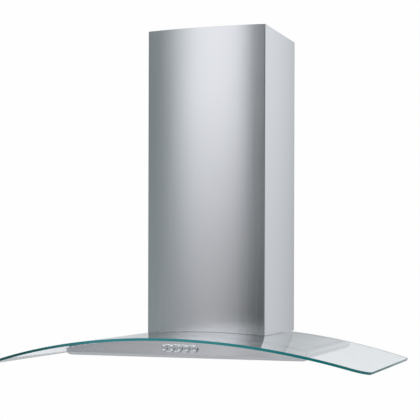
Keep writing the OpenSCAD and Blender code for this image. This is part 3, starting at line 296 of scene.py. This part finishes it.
def zinc_plated_steel():
    """Turned and zinc plated: bright, slightly blue, with fine turning marks."""
    material, tree = new_material("zinc plated steel")
    marks = pattern(tree, 1.1111)
    shade(tree, {"Metallic": 1.0, **varied(tree, marks, ("#aab0b6", "#c6cbd0"), (0.22, 0.36))})
    return material


def mill_finish_stainless():
    """Stainless sheet as it comes from the mill: dull, not ground, used where only the glass covers it."""
    material, tree = new_material("mill finish stainless")
    cloud = pattern(tree, (111.11, 25, 25), Detail=3.0)
    shade(tree, {"Metallic": 1.0, **varied(tree, cloud, ("#e2e4e6", "#eaecee"), (0.36, 0.46))})
    return material


def satin_aluminium():
    """Pressed aluminium, etched and clear anodised: soft white sheen with a faint rolling grain."""
    material, tree = new_material("satin anodised aluminium")
    grain = pattern(tree, (71.429, 2, 2), Detail=3.0)
    shade(tree, {"Metallic": 1.0, **varied(tree, grain, ("#b9bcbe", "#cdd0d2"), (0.3, 0.42), (0.03, 0.3))})
    return material


def satin_chrome():
    """Moulded ABS plated with satin chrome: even, smooth and a little cool."""
    material, tree = new_material("satin chrome plating")
    cloud = pattern(tree, 4)
    shade(tree, {"Metallic": 1.0, **varied(tree, cloud, ("#ccd0d3", "#d6dadd"), (0.14, 0.2))})
    return material


def polished_trim():
    """Stainless wire, drawn and polished bright: it picks up a light line along its upper side."""
    material, tree = new_material("polished stainless trim")
    cloud = pattern(tree, 8.3333)
    shade(tree, {"Metallic": 1.0, **varied(tree, cloud, ("#c0c3c6", "#cccfd2"), (0.14, 0.2))})
    return material


def float_glass():
    """Clear float glass: iron in it gives a faint blue green, the surface is as smooth as water."""
    material, tree = new_material("float glass")
    haze = pattern(tree, 500)
    shade(tree, {"Base Color": rgba("#eff4f6"), "IOR": 1.52, "Transmission Weight": 1.0,
                 **varied(tree, haze, rough=(0.0, 0.012))})
    return material


def glass_cut_edge(colours):
    """Ground and polished edge: light that has run through the sheet comes out blue green.

    Towards the ends the colour is painted deeper, as painted shade where less light runs along the sheet,
    most of all at the left end, which turns away from the light.
    """
    material, tree = new_material("polished glass edge")
    cloud = pattern(tree, (166.67, 166.67, 5), Detail=3.0)
    # end is the edge colour with painted shade, used towards the ends
    middle, end = tuple(colours.glass_edge), tuple(colours.glass_end_shade)
    cloudy = add_node(tree, "Mix", {
        "Factor": cloud, "A": scaled(middle, 0.85), "B": scaled(middle, 1.15)}, data_type='RGBA')
    place = add_node(tree, "TexCoord")
    parts = add_node(tree, "SeparateXYZ", {0: place.outputs["Object"]})
    # Painted shade: the ends of the cut edge are painted darker, the left end down to half
    left = add_node(tree, "MapRange", {"Value": parts.outputs["X"], "From Min": 0.0, "From Max": -0.1})
    ends = add_node(tree, "Mix", {
        "Factor": left, "A": scaled(end, 1), "B": scaled(end, 0.5)}, data_type='RGBA')
    out = add_node(tree, "Math", {0: parts.outputs["X"]}, operation='ABSOLUTE')
    painted_end_shade = add_node(tree, "MapRange", {
        "Value": out, "From Min": EDGE_SHADE_DEEPENS[0], "From Max": EDGE_SHADE_DEEPENS[1]}, interpolation_type='SMOOTHSTEP')
    colour = add_node(tree, "Mix", {"Factor": painted_end_shade, "A": cloudy, "B": ends}, data_type='RGBA')
    shade(tree, {"IOR": 1.52, "Transmission Weight": 0.15, "Specular IOR Level": 0.3, "Base Color": colour,
                 **varied(tree, cloud, rough=(0.05, 0.16))})
    return material


def frosted_lens():
    """Pressed glass, etched on the inside: milky, so that the bulb is only guessed."""
    material, tree = new_material("frosted lens glass")
    grain = pattern(tree, 0.66667, Detail=1.0)
    shade(tree, {"Base Color": rgba("#f2f3ef"), "IOR": 1.5, "Transmission Weight": 0.85,
                 **varied(tree, grain, rough=(0.35, 0.55))})
    return material


def bulb_glass():
    """Small halogen capsule: thin clear quartz."""
    material, tree = new_material("quartz capsule")
    smear = pattern(tree, 3.3333)
    shade(tree, {"Base Color": rgba("#fbfaf4"), "IOR": 1.46, "Transmission Weight": 1.0,
                 **varied(tree, smear, rough=(0.02, 0.1))})
    return material


def moulded_plastic(name, dark, light, rough):
    """Injection moulded plastic from a spark eroded mould: fine even grit, about 0.7 mm apart."""
    material, tree = new_material(name)
    grit = pattern(tree, 0.71429)
    cloud = pattern(tree, 55.556)
    shade(tree, {"IOR": 1.5, **varied(tree, cloud, (dark, light)),
                 **varied(tree, grit, rough=(rough - 0.05, rough + 0.05), relief=(0.05, 0.4))})
    return material


def silicone_seal():
    """Extruded translucent silicone: milky, so the steel below it shows through a little."""
    material, tree = new_material("translucent silicone seal")
    cloud = pattern(tree, 8.3333)
    shade(tree, {"IOR": 1.42, "Transmission Weight": 0.6,
                 **varied(tree, cloud, ("#dcdfe1", "#e6e8e9"), (0.35, 0.5))})
    return material


def motor_enamel():
    """Dipped enamel on pressed steel: dark, half gloss, with a slight orange peel."""
    material, tree = new_material("black stoved enamel")
    peel = pattern(tree, 3.8462)
    shade(tree, {"IOR": 1.5, **varied(tree, peel, ("#232527", "#303335"), (0.28, 0.4), (0.1, 0.35))})
    return material


def paint(nodes, material):
    """Gives CAD nodes one finish."""
    for name in nodes:
        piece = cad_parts[name]
        piece.data.materials.clear()
        piece.data.materials.append(material)


# Modelling help


def nothing_selected():
    if bpy.context.object and bpy.context.object.mode != 'OBJECT':
        bpy.ops.object.mode_set(mode='OBJECT')
    bpy.ops.object.select_all(action='DESELECT')


def apply_all(piece):
    """Puts the piece's place into its mesh and applies its modifiers."""
    nothing_selected()
    piece.select_set(True)
    bpy.context.view_layer.objects.active = piece
    bpy.ops.object.transform_apply(location=True, rotation=True, scale=True)
    for modifier in list(piece.modifiers):
        bpy.ops.object.modifier_apply(modifier=modifier.name)


def finish_piece(piece, name, material, body, slot, *nodes):
    """Names a piece, paints it, hangs it on the body it rides on and hides the CAD nodes it stands for."""
    piece.name = name
    piece.data.name = name
    if material is not None:
        piece.data.materials.clear()
        piece.data.materials.append(material)
    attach(piece, body)
    if nodes:
        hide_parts(*nodes)


class HOOD_OT_stage(bpy.types.Operator):
    """Floor, soft studio light and the camera at the photograph's angle"""
    bl_idname = "hood.stage"
    bl_label = "Stage"

    def execute(self, context):
        scene = context.scene
        make_camera(scene)
        make_floor(scene.hood_sizes, scene.hood_colours)
        make_world(scene, scene.hood_colours)
        make_lamps(scene)
        scene.view_settings.view_transform = 'Standard'
        return {'FINISHED'}


def make_camera(scene):
    """Camera at the place, turn and lens that a fit to the photo's edges gave."""
    camera = bpy.data.cameras.new("camera")
    camera.sensor_width = 36
    camera.lens = CAMERA_LENS
    camera.shift_y = CAMERA_SHIFT
    camera.clip_end = 200
    holder = bpy.data.objects.new("camera", camera)
    holder.location = CAMERA_PLACE
    holder.rotation_euler = [math.radians(angle) for angle in CAMERA_TURN]
    scene.collection.objects.link(holder)
    scene.camera = holder


def make_floor(sizes, colours):
    """Pale floor that glows a little where it is seen and looks darker in mirrors."""
    nothing_selected()
    bpy.ops.mesh.primitive_circle_add(vertices=96, radius=9, fill_type='NGON', location=(0, 0, -sizes.floor_drop))
    floor = bpy.context.object
    floor.name = "floor"
    material, tree = new_material("pale studio floor")
    rays = add_node(tree, "LightPath")
    pale = add_node(tree, "Mix", {
        "Factor": pattern(tree, 333.33), "A": rgba("#f1f1f0"), "B": rgba("#f5f5f4")}, data_type='RGBA')
    quiet = add_node(tree, "Mix", {
        "Factor": rays.outputs["Is Glossy Ray"], "A": pale, "B": rgba("#c5c8cb")}, data_type='RGBA')
    shader = add_node(tree, "BsdfPrincipled", {"Roughness": 0.9, "Base Color": quiet})
    glow = add_node(tree, "Emission", {"Color": (*colours.backdrop, 1), "Strength": 0.3})
    dark = add_node(tree, "Emission", {"Strength": 0.0})
    extra = add_node(tree, "MixShader", {0: seen_directly(tree, rays), 1: dark, 2: glow})
    both = add_node(tree, "AddShader", {0: shader, 1: extra})
    add_node(tree, "OutputMaterial", {"Surface": both})
    floor.data.materials.append(material)


def seen_directly(tree, rays):
    """One where the camera looks straight or through glass."""
    return add_node(tree, "Math", {
        0: rays.outputs["Is Camera Ray"], 1: rays.outputs["Is Transmission Ray"]}, operation='MAXIMUM')


# A band is a set of soft ramps that are multiplied. A ramp says what it runs along, from where to
# where, and from which tone to which. turn is the angle to the right of straight ahead in degrees,
# slant the same but leaning with the height, back the angle to the right seen from the front
# towards the wall behind, height the sine of the elevation and depth the way from front to back.
SOFTBOX = (("turn", -37, -22, 0, 1), ("slant", -8, -2.4, 1, 0))
SOFTBOX_HEIGHT = ("height", -0.07, 0.17, 0.12, 1.12)
GLINT_HEIGHT = ("height", -0.085, -0.066, 0.34, 0)
FRONT = {
    "softbox": (*SOFTBOX, SOFTBOX_HEIGHT),
    "crest of the softbox": (("turn", -16, -11, 0, 1), ("turn", -8, -4, 0.1, 0), SOFTBOX_HEIGHT),
    "room": (("height", -0.06, 0.2, 0.36, 0.28),),
    "dark gap": (("turn", -18, -2, 0, 1), ("turn", 5, 30, 1, 0), ("height", -0.06, 0, -0.32, -0.2)),
    "low band": (("height", -0.22, -0.15, 0, 1), ("height", -0.12, -0.07, 0.17, 0), ("turn", -14, -8, 1, 0)),
    "low dip": (("turn", -31, -27, 0, 1), ("turn", -24, -20, 1, 0), ("height", -0.1, -0.05, -0.24, 0)),
    "left glint": (("turn", -20.4, -19.2, 0, 1), ("turn", -18.7, -17.8, 1, 0), GLINT_HEIGHT),
    "right glint": (("turn", -17.3, -16.5, 0, 1), ("turn", -15.5, -14.7, 0.8, 0), GLINT_HEIGHT),
    "between the glints": (("turn", -18.4, -17.8, 0, 1), ("turn", -17.2, -16.6, -0.7, 0), GLINT_HEIGHT),
}
BACK = {
    "wall": (("height", -0.06, 0.2, 0.79, 0.97), ("back", 0, 28, 0.76, 1.12)),
    "dark dip": (("back", -20, -16, 0, 1), ("back", -14, -11, -0.19, 0)),
    "lighter end": (("back", -28, -20, 0.28, 0),),
}
BEHIND = (("depth", -0.1, 0.35, 0, 1),)
ABOVE = (("height", 0.35, 0.8, 0, 1),)


def layered(tree, directions, bands):
    """Adds up bands, each the product of its soft ramps."""
    total = 0.0
    for ramps in bands:
        band = 1.0
        for along, start, end, first, last in ramps:
            ramp = add_node(tree, "MapRange", {
                "Value": directions[along], "From Min": start, "From Max": end, "To Min": first,
                "To Max": last}, interpolation_type='SMOOTHSTEP')
            band = add_node(tree, "Math", {0: band, 1: ramp}, operation='MULTIPLY')
        total = add_node(tree, "Math", {0: total, 1: band}, operation='ADD')
    return total


def make_world(scene, colours):
    """White backdrop for the camera. The steel mirrors a dim room with one tall softbox left of the
    camera, and a pale wall behind the hood."""
    world = bpy.data.worlds.new("studio")
    scene.world = world
    world.use_nodes = True
    tree = world.node_tree
    tree.nodes.clear()
    place = add_node(tree, "TexCoord")
    parts = add_node(tree, "SeparateXYZ", {0: place.outputs["Generated"]})
    x, y, z = parts.outputs
    minus_y = add_node(tree, "Math", {0: y, 1: -1.0}, operation='MULTIPLY')
    turn = add_node(tree, "Math", {0: x, 1: minus_y}, operation='ARCTAN2')
    slant = add_node(tree, "Math", {0: z, 1: -SOFTBOX_LEAN, 2: turn}, operation='MULTIPLY_ADD')
    back = add_node(tree, "Math", {0: x, 1: y}, operation='ARCTAN2')
    directions = {"depth": y, "height": z}
    for name, angle in (("turn", turn), ("slant", slant), ("back", back)):
        directions[name] = add_node(tree, "Math", {0: angle}, operation='DEGREES')
    front = layered(tree, directions, FRONT.values())
    back_wall = layered(tree, directions, BACK.values())
    behind = layered(tree, directions, [BEHIND])
    above = layered(tree, directions, [ABOVE])
    level = add_node(tree, "Mix", {"Factor": behind, "A": front, "B": back_wall}, data_type='FLOAT')
    reflected = add_node(tree, "Mix", {"Factor": above, "A": level, "B": ROOM_LIGHT}, data_type='FLOAT')
    wall_warmth = add_node(tree, "Math", {0: behind, 1: 0.8}, operation='MULTIPLY')
    warm = add_node(tree, "Math", {
        0: layered(tree, directions, [SOFTBOX]), 1: wall_warmth}, operation='MAXIMUM')
    cast = add_node(tree, "Mix", {"Factor": warm, "A": rgba("#edfbff"), "B": rgba("#fafbff")}, data_type='RGBA')
    mirrored = add_node(tree, "Background", {"Color": cast, "Strength": reflected})
    plain = add_node(tree, "Background", {"Color": rgba("#ffffff"), "Strength": ROOM_LIGHT})
    white = add_node(tree, "Background", {"Color": (*colours.backdrop, 1), "Strength": 1.0})
    rays = add_node(tree, "LightPath")
    lit = add_node(tree, "MixShader", {0: rays.outputs["Is Glossy Ray"], 1: plain, 2: mirrored})
    shown = add_node(tree, "MixShader", {0: seen_directly(tree, rays), 1: lit, 2: white})
    add_node(tree, "OutputWorld", {"Surface": shown})


def make_lamps(scene):
    """Two large soft lamps, kept out of the reflections because the world holds those."""
    for name, spot, size, power in (("key lamp", (-1.6, -3.2, 1.9), 2.0, 55.0),
                                    ("fill lamp", (2.8, -2.2, 1.2), 2.5, 30.0)):
        lamp = bpy.data.lights.new(name, 'AREA')
        lamp.shape = 'SQUARE'
        lamp.size = size
        lamp.energy = power
        holder = bpy.data.objects.new(name, lamp)
        holder.location = spot
        holder.rotation_euler = (LAMP_AIM - Vector(spot)).to_track_quat('-Z', 'Y').to_euler()
        holder.visible_glossy = False
        scene.collection.objects.link(holder)


class HOOD_OT_metal(bpy.types.Operator):
    """Finishes of the sheet metal, the fixings and the filters' frames"""
    bl_idname = "hood.metal"
    bl_label = "Metal finishes"

    def execute(self, context):
        steel = tuple(context.scene.hood_colours.steel)
        low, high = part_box("lower_cover")
        upright = brushed_stainless("brushed stainless, grain upright", steel, 0.2, (0, 1),
                                    bulge=(low.y + COVER_BOW, (low.y + high.y) / 2))
        level = brushed_stainless("brushed stainless, grain along the body",
                                  [part * BODY_SHEET for part in steel], 0.14, (1, 2))
        paint(["lower_cover", "upper_cover"], upright)
        paint(["body_shell", "base_panel", "control_bezel", "lamp_housing_left", "lamp_housing_right"], level)
        paint(["body_roof"], mill_finish_stainless())
        paint(["motor_box", "lower_cover_bracket", "upper_cover_bracket", "switch_bracket",
               "volute_wrap", "volute_side_left", "volute_side_right", "motor_bracket", "capacitor_clip"],
              galvanised_sheet())
        paint(["glass_screws", "glass_nuts", "motor_bracket_screws", "outlet_screws", "flap_pin", "motor_shaft"],
              zinc_plated_steel())
        paint(["filter_frame_left", "filter_frame_right"], satin_aluminium())
        return {'FINISHED'}


class HOOD_OT_plastic(bpy.types.Operator):
    """Finishes of the moulded, rubber and painted pieces"""
    bl_idname = "hood.plastic"
    bl_label = "Plastic, rubber and paint"

    def execute(self, context):
        black = moulded_plastic("black moulded nylon", "#17181a", "#232527", 0.42)
        grey = moulded_plastic("grey moulded polypropylene", "#4c4e50", "#5a5c5e", 0.45)
        white = moulded_plastic("white moulded ABS", "#dcdbd5", "#e6e5e0", 0.38)
        natural = moulded_plastic("natural nylon", "#d9d3c2", "#e6e1d2", 0.35)
        paint(["outlet_collar", "switch_block", "filter_latch_left", "filter_latch_right", "mains_gland"], black)
        paint(["inlet_ring_left", "inlet_ring_right", "impeller", "front_flap", "rear_flap"], grey)
        paint(["lamp_transformer", "junction_box", "junction_lid", "capacitor"], white)
        paint(["glass_bushes"], natural)
        paint(["lamp_leads", "wiring_harness"], moulded_plastic("black PVC sheath", "#101112", "#191a1b", 0.33))
        paint(["glass_gasket"], silicone_seal())
        paint(["motor"], motor_enamel())
        paint(["lamp_bulbs"], bulb_glass())
        return {'FINISHED'}


class HOOD_OT_canopy(bpy.types.Operator):
    """Bent glass canopy with its ground and polished edge"""
    bl_idname = "hood.canopy"
    bl_label = "Glass canopy"

    def execute(self, context):
        sizes = context.scene.hood_sizes
        sheet = flat_outline(sizes)
        sheet.data.materials.append(float_glass())
        sheet.data.materials.append(glass_cut_edge(context.scene.hood_colours))
        bend_and_thicken(sheet, sizes)
        drill_bush_holes(sheet, sizes)
        bpy.ops.object.shade_smooth_by_angle(angle=math.radians(20))
        finish_piece(sheet, "bent_glass_canopy", None, "hood", "glass", "glass_canopy")
        return {'FINISHED'}


def cut_away(point, normal):
    """Cuts the open mesh by a plane and drops what lies beyond it."""
    bpy.ops.mesh.select_all(action='SELECT')
    bpy.ops.mesh.bisect(plane_co=point, plane_no=normal, clear_outer=True)


def round_corner(centre, radius, first, last, steps=8):
    """Rounds a corner in plan by cuts that touch its circle; first and last are the normals' angles."""
    for i in range(steps):
        turn = first + (last - first) * (i + 0.5) / steps
        normal = Vector((math.cos(turn), math.sin(turn), 0))
        cut_away(centre + normal * radius, normal)


def flat_outline(sizes):
    """The sheet's plan as a flat strip of faces, at the height of the crown."""
    half, front, back = glass_high.x, glass_low.y, glass_high.y
    bow, corner, rear_r = sizes.glass_bow, sizes.front_corner, sizes.rear_corner
    front_r = (half ** 2 + bow ** 2) / (2 * bow)
    middle = front + front_r
    nothing_selected()
    bpy.ops.mesh.primitive_circle_add(vertices=PLAN_SIDES, radius=front_r, fill_type='NOTHING',
                                      location=(0, middle, CROWN))
    sheet = bpy.context.object
    bpy.ops.object.transform_apply(location=True, rotation=True, scale=True)
    bpy.ops.object.mode_set(mode='EDIT')
    cut_away((half, 0, 0), (1, 0, 0))
    cut_away((-half, 0, 0), (-1, 0, 0))
    cut_away((0, back, 0), (0, 1, 0))
    bpy.ops.mesh.select_all(action='SELECT')
    bpy.ops.mesh.extrude_edges_move(TRANSFORM_OT_translate={"value": (0, front_r, 0)})
    bpy.ops.transform.resize(value=(1, 0, 1), center_override=(0, back, CROWN))
    front_turn = math.asin((half - corner) / (front_r - corner))
    front_centre = middle - math.cos(front_turn) * (front_r - corner)
    quarter = math.pi / 2
    for side in (-1, 1):
        start = 0 if side > 0 else math.pi
        round_corner(Vector((side * (half - rear_r), back - rear_r, 0)), rear_r, start,
                     start + side * quarter)
        round_corner(Vector((side * (half - corner), front_centre, 0)), corner, start,
                     start - side * (quarter - front_turn), steps=16)
    cut_notch(box_high.x + sizes.notch_gap, box_low.y - sizes.notch_gap, sizes.notch_corner)
    bpy.ops.mesh.select_all(action='SELECT')
    bpy.ops.mesh.remove_doubles(threshold=MERGE)
    bpy.ops.object.mode_set(mode='OBJECT')
    return sheet


def cut_notch(half, front, corner, steps=6):
    """Opens the rear of the sheet for the motor box; its inner corners are rounded."""
    for point, normal in (((half, 0, 0), (1, 0, 0)), ((-half, 0, 0), (1, 0, 0)), ((0, front, 0), (0, 1, 0))):
        bpy.ops.mesh.select_all(action='SELECT')
        bpy.ops.mesh.bisect(plane_co=point, plane_no=normal)
    cuts = []
    for side in (-1, 1):
        centre = Vector((side * (half - corner), front + corner, 0))
        for i in range(steps):
            turn = math.pi / 2 * (i + 0.5) / steps
            normal = Vector((side * math.cos(turn), -math.sin(turn), 0))
            cuts.append((centre, normal))
            pick_faces(lambda middle, _: abs(middle.x) < half and middle.y > front)
            bpy.ops.mesh.bisect(plane_co=centre + normal * corner, plane_no=normal)

    def inside(middle, _):
        flat = Vector((middle.x, middle.y, 0))
        return (abs(middle.x) < half and middle.y > front
                and all((flat - centre).dot(normal) < corner for centre, normal in cuts))

    pick_faces(inside)
    bpy.ops.mesh.delete(type='FACE')


def pick_faces(wanted):
    """Selects the faces of the piece in edit mode whose centre and normal pass the test."""
    bpy.ops.mesh.select_all(action='DESELECT')
    bpy.ops.mesh.select_mode(type='FACE')
    bpy.ops.object.mode_set(mode='OBJECT')
    for face in bpy.context.object.data.polygons:
        face.select = wanted(face.center, face.normal)
    bpy.ops.object.mode_set(mode='EDIT')


def arch_radius(thickness):
    """Radius of the upper face, from the height of the finished sheet."""
    half = glass_high.x
    drop = glass_high.z - glass_low.z - thickness
    return (half ** 2 + drop ** 2) / (2 * drop) + thickness


def bend_and_thicken(sheet, sizes):
    """Lays the flat sheet on a drum of the arch's radius and gives it its thickness and its arris."""
    radius = arch_radius(sizes.glass_thickness)
    nothing_selected()
    bpy.ops.mesh.primitive_cylinder_add(
        vertices=DRUM_SIDES, radius=radius, depth=3 * (glass_high.y - glass_low.y), end_fill_type='NOTHING',
        location=(0, glass_low.y, CROWN - radius), rotation=(math.pi / 2, 0, 0))
    drum = bpy.context.object
    arch = sheet.modifiers.new("arch", 'SHRINKWRAP')
    arch.target = drum
    arch.wrap_method = 'PROJECT'
    arch.use_project_z = True
    arch.use_positive_direction = False
    arch.use_negative_direction = True
    arch.project_limit = 2 * (glass_high.z - glass_low.z)
    apply_all(sheet)
    bpy.data.objects.remove(drum)
    bpy.ops.object.mode_set(mode='EDIT')
    bpy.ops.mesh.select_all(action='SELECT')
    if sum(face.normal.z for face in sheet.data.polygons) < 0:
        bpy.ops.mesh.flip_normals()
    bpy.ops.object.mode_set(mode='OBJECT')
    wall = sheet.modifiers.new("thickness", 'SOLIDIFY')
    wall.thickness = sizes.glass_thickness
    wall.offset = -1
    wall.use_even_offset = True
    wall.material_offset_rim = 1
    arris = sheet.modifiers.new("arris", 'BEVEL')
    arris.width = sizes.glass_arris
    arris.segments = 1
    arris.limit_method = 'ANGLE'
    arris.angle_limit = math.radians(60)
    arris.material = 1
    apply_all(sheet)


def drill_bush_holes(sheet, sizes):
    """Cuts the holes of the six bushes; each stands square to the arch."""
    drill = drill_bits(sizes)
    cut = sheet.modifiers.new("bush holes", 'BOOLEAN')
    cut.operation = 'DIFFERENCE'
    cut.object = drill
    nothing_selected()
    sheet.select_set(True)
    bpy.context.view_layer.objects.active = sheet
    bpy.ops.object.modifier_apply(modifier=cut.name)
    bpy.data.objects.remove(drill)


def drill_bits(sizes):
    """The six drills as one piece, each square to the arch."""
    bush_low, bush_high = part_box("glass_bushes")
    rear, front = bush_high.y - BUSH_FLANGE, bush_low.y + BUSH_FLANGE
    wide, narrow = bush_high.x - BUSH_FLANGE, BUSH_FRONT_X
    radius = arch_radius(sizes.glass_thickness)
    bits = []
    for x, y in ((wide, rear), (wide, BUSH_MIDDLE_Y), (narrow, front)):
        for side in (-1, 1):
            lean = math.asin(side * x / radius)
            place = (side * x, y, CROWN - radius + radius * math.cos(lean))
            bpy.ops.mesh.primitive_cylinder_add(vertices=32, radius=BUSH_HOLE, depth=30 * MM, location=place,
                                                rotation=(0, lean, 0))
            bits.append(bpy.context.object)
    nothing_selected()
    for bit in bits:
        bit.select_set(True)
    bpy.context.view_layer.objects.active = bits[0]
    bpy.ops.object.join()
    bpy.ops.object.transform_apply(location=True, rotation=True, scale=True)
    return bits[0]


def turned(points, place, lean=0.0, vertices=48):
    """Round piece from a profile of radii and heights, top first: a cylinder whose lower face is
    drawn on from point to point. lean turns the axis about X before the piece goes to its place."""
    (radius, top), (_, low) = points[:2]
    nothing_selected()
    bpy.ops.mesh.primitive_cylinder_add(vertices=vertices, radius=radius, depth=top - low,
                                        location=(0, 0, (top + low) / 2))
    piece = bpy.context.object
    bpy.ops.object.transform_apply(location=True, rotation=True, scale=True)
    bpy.ops.object.mode_set(mode='EDIT')
    pick_faces(lambda _, normal: normal.z < -0.9)
    for (before, start), (after, end) in zip(points[1:], points[2:]):
        bpy.ops.mesh.extrude_region_move(TRANSFORM_OT_translate={"value": (0, 0, end - start)})
        bpy.ops.transform.resize(value=(after / before, after / before, 1), center_override=(0, 0, end))
    bpy.ops.object.mode_set(mode='OBJECT')
    piece.rotation_euler = (lean, 0, 0)
    piece.location = place
    apply_all(piece)
    bpy.ops.object.shade_smooth_by_angle(angle=math.radians(30))
    return piece


def copy_of(piece, shift):
    """Copy with its own mesh, moved by shift."""
    nothing_selected()
    piece.select_set(True)
    bpy.context.view_layer.objects.active = piece
    bpy.ops.object.duplicate()
    bpy.ops.transform.translate(value=shift)
    made = bpy.context.object
    apply_all(made)
    return made


class HOOD_OT_controls(bpy.types.Operator):
    """Five push buttons and the polished bead round them"""
    bl_idname = "hood.controls"
    bl_label = "Buttons and bead"

    def execute(self, context):
        sizes = context.scene.hood_sizes
        low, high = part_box(BUTTONS[0])
        radius, middle = (high.x - low.x) / 2 - BUTTON_FLANGE_OUT, (low + high) / 2
        edge, dish = sizes.button_edge, sizes.button_dish
        face = radius - edge
        flange = radius + BUTTON_FLANGE_OUT
        profile = [(BUTTON_STEM, high.y - low.y), (BUTTON_STEM, BUTTON_STAND + BUTTON_FLANGE),
                   (flange, BUTTON_STAND + BUTTON_FLANGE), (flange, BUTTON_STAND),
                   (radius, BUTTON_STAND), (radius, edge)]
        for i in range(1, EDGE_STEPS + 1):
            turn = math.pi / 2 * i / EDGE_STEPS
            profile.append((face + edge * math.cos(turn), edge - edge * math.sin(turn)))
        for part in DISH_RINGS:
            profile.append((face * part, dish * (1 - part ** 2)))
        first = turned(profile, (middle.x, low.y, middle.z), -math.pi / 2)
        chrome = satin_chrome()
        for name in BUTTONS:
            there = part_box(name)[0].x - low.x
            piece = first if name == BUTTONS[0] else copy_of(first, (there, 0, 0))
            finish_piece(piece, "cap_" + name, chrome, name, "button", name)
        bead = bezel_bead(sizes)
        finish_piece(bead, "bezel_bead", polished_trim(), "hood", "steel")
        return {'FINISHED'}


def bezel_bead(sizes):
    """A ring drawn out at both ends to a long oval, half sunk into the bezel's face."""
    low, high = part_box("control_bezel")
    middle = (low + high) / 2
    outer = (high.z - low.z) / 2
    nothing_selected()
    bpy.ops.mesh.primitive_torus_add(major_radius=outer + BEAD_OUT - sizes.bead, minor_radius=sizes.bead,
                                     major_segments=66, minor_segments=12, rotation=(math.pi / 2, 0, 0),
                                     location=(middle.x, low.y, middle.z))
    bead = bpy.context.object
    bpy.ops.object.transform_apply(location=True, rotation=True, scale=True)
    for side in (-1, 1):
        bpy.ops.object.mode_set(mode='EDIT')
        bpy.ops.mesh.select_mode(type='VERT')
        bpy.ops.mesh.select_all(action='DESELECT')
        bpy.ops.object.mode_set(mode='OBJECT')
        for vertex in bead.data.vertices:
            vertex.select = side * (vertex.co.x - middle.x) > 0
        bpy.ops.object.mode_set(mode='EDIT')
        bpy.ops.transform.translate(value=(side * ((high.x - low.x) / 2 - outer), 0, 0))
    bpy.ops.object.mode_set(mode='OBJECT')
    bpy.ops.object.shade_smooth()
    return bead


class HOOD_OT_filters(bpy.types.Operator):
    """Expanded metal packs of the two grease filters"""
    bl_idname = "hood.filters"
    bl_label = "Filter mesh"

    def execute(self, context):
        low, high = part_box("filter_mesh_right")
        right = expanded_metal(low, high, context.scene.hood_sizes)
        left = copy_of(right, (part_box("filter_mesh_left")[0].x - low.x, 0, 0))
        metal = satin_aluminium()
        finish_piece(right, "mesh_pack_right", metal, "right_filter", "aluminium", "filter_mesh_right")
        finish_piece(left, "mesh_pack_left", metal, "left_filter", "aluminium", "filter_mesh_left")
        return {'FINISHED'}


def expanded_metal(low, high, sizes):
    """Two sheets of diamonds, the upper one half a cell aside. The strands lean, as they do in slit
    and drawn sheet."""
    columns = round((high.x - low.x) / sizes.mesh_cell[0])
    rows = round((high.y - low.y) / sizes.mesh_cell[1])
    long, wide = (high.x - low.x) / columns, (high.y - low.y) / rows
    nothing_selected()
    bpy.ops.mesh.primitive_circle_add(vertices=4, radius=long / 2 * MESH_KNUCKLE, fill_type='NGON',
                                      location=(low.x + long, low.y + wide, low.z + MESH_SHEET))
    cell = bpy.context.object
    cell.scale = (1, wide / long, 1)
    bpy.ops.object.transform_apply(location=True, rotation=True, scale=True)
    bpy.ops.object.mode_set(mode='EDIT')
    bpy.ops.mesh.select_all(action='SELECT')
    bpy.ops.mesh.inset(thickness=sizes.mesh_strand)
    bpy.ops.transform.translate(value=(0, 0, MESH_LEAN))
    bpy.ops.mesh.delete(type='FACE')
    bpy.ops.object.mode_set(mode='OBJECT')
    wall = cell.modifiers.new("sheet", 'SOLIDIFY')
    wall.thickness = MESH_SHEET
    upper = high.z - low.z - 2 * MESH_SHEET - MESH_LEAN
    for name, count, step in (("along", columns - 1, (long, 0, 0)), ("rows", rows - 1, (0, wide, 0)),
                              ("layers", 2, (-long / 2, -wide / 2, upper))):
        row = cell.modifiers.new(name, 'ARRAY')
        row.use_relative_offset = False
        row.use_constant_offset = True
        row.count = count
        row.constant_offset_displace = step
    apply_all(cell)
    return cell


class HOOD_OT_lamps(bpy.types.Operator):
    """Ribbed lenses of the two lamps"""
    bl_idname = "hood.lamps"
    bl_label = "Lamp lenses"

    def execute(self, context):
        low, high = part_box("lamp_lens_right")
        radius, middle = (high.x - low.x) / 2, (low + high) / 2
        points = [(radius, high.z - low.z), (radius, LENS_RIB), (radius - LENS_RIB, 0)]
        rib = radius - LENS_MARGIN
        while rib > LENS_PITCH:
            points += [(rib, 0), (rib - LENS_RIB, LENS_RIB), (rib - LENS_PITCH / 2, LENS_RIB),
                       (rib - LENS_PITCH / 2 - LENS_RIB, 0)]
            rib -= LENS_PITCH
        right = turned(points, (middle.x, middle.y, low.z), vertices=64)
        left = copy_of(right, (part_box("lamp_lens_left")[0].x - low.x, 0, 0))
        glass = frosted_lens()
        finish_piece(right, "ribbed_lens_right", glass, "hood", "lens", "lamp_lens_right")
        finish_piece(left, "ribbed_lens_left", glass, "hood", "lens", "lamp_lens_left")
        return {'FINISHED'}


PIECES = [HOOD_OT_stage, HOOD_OT_metal, HOOD_OT_plastic, HOOD_OT_canopy, HOOD_OT_controls,
          HOOD_OT_filters, HOOD_OT_lamps]


class HOOD_PT_panel(bpy.types.Panel):
    """Lists the pieces of the range hood"""
    bl_label = "Range Hood"
    bl_idname = "HOOD_PT_panel"
    bl_space_type = 'VIEW_3D'
    bl_region_type = 'UI'
    bl_category = "Range Hood"

    def draw(self, context):
        for piece in PIECES:
            self.layout.operator(piece.bl_idname)


CLASSES = [HoodSizes, HoodColours, *PIECES, HOOD_PT_panel]


def register():
    for made in CLASSES:
        bpy.utils.register_class(made)
    bpy.types.Scene.hood_sizes = bpy.props.PointerProperty(type=HoodSizes)
    bpy.types.Scene.hood_colours = bpy.props.PointerProperty(type=HoodColours)


def unregister():
    del bpy.types.Scene.hood_colours
    del bpy.types.Scene.hood_sizes
    for made in reversed(CLASSES):
        bpy.utils.unregister_class(made)


def main():
    register()
    for piece in PIECES:
        group, name = piece.bl_idname.split(".")
        getattr(getattr(bpy.ops, group), name)()


if __name__ == "__main__":
    main()
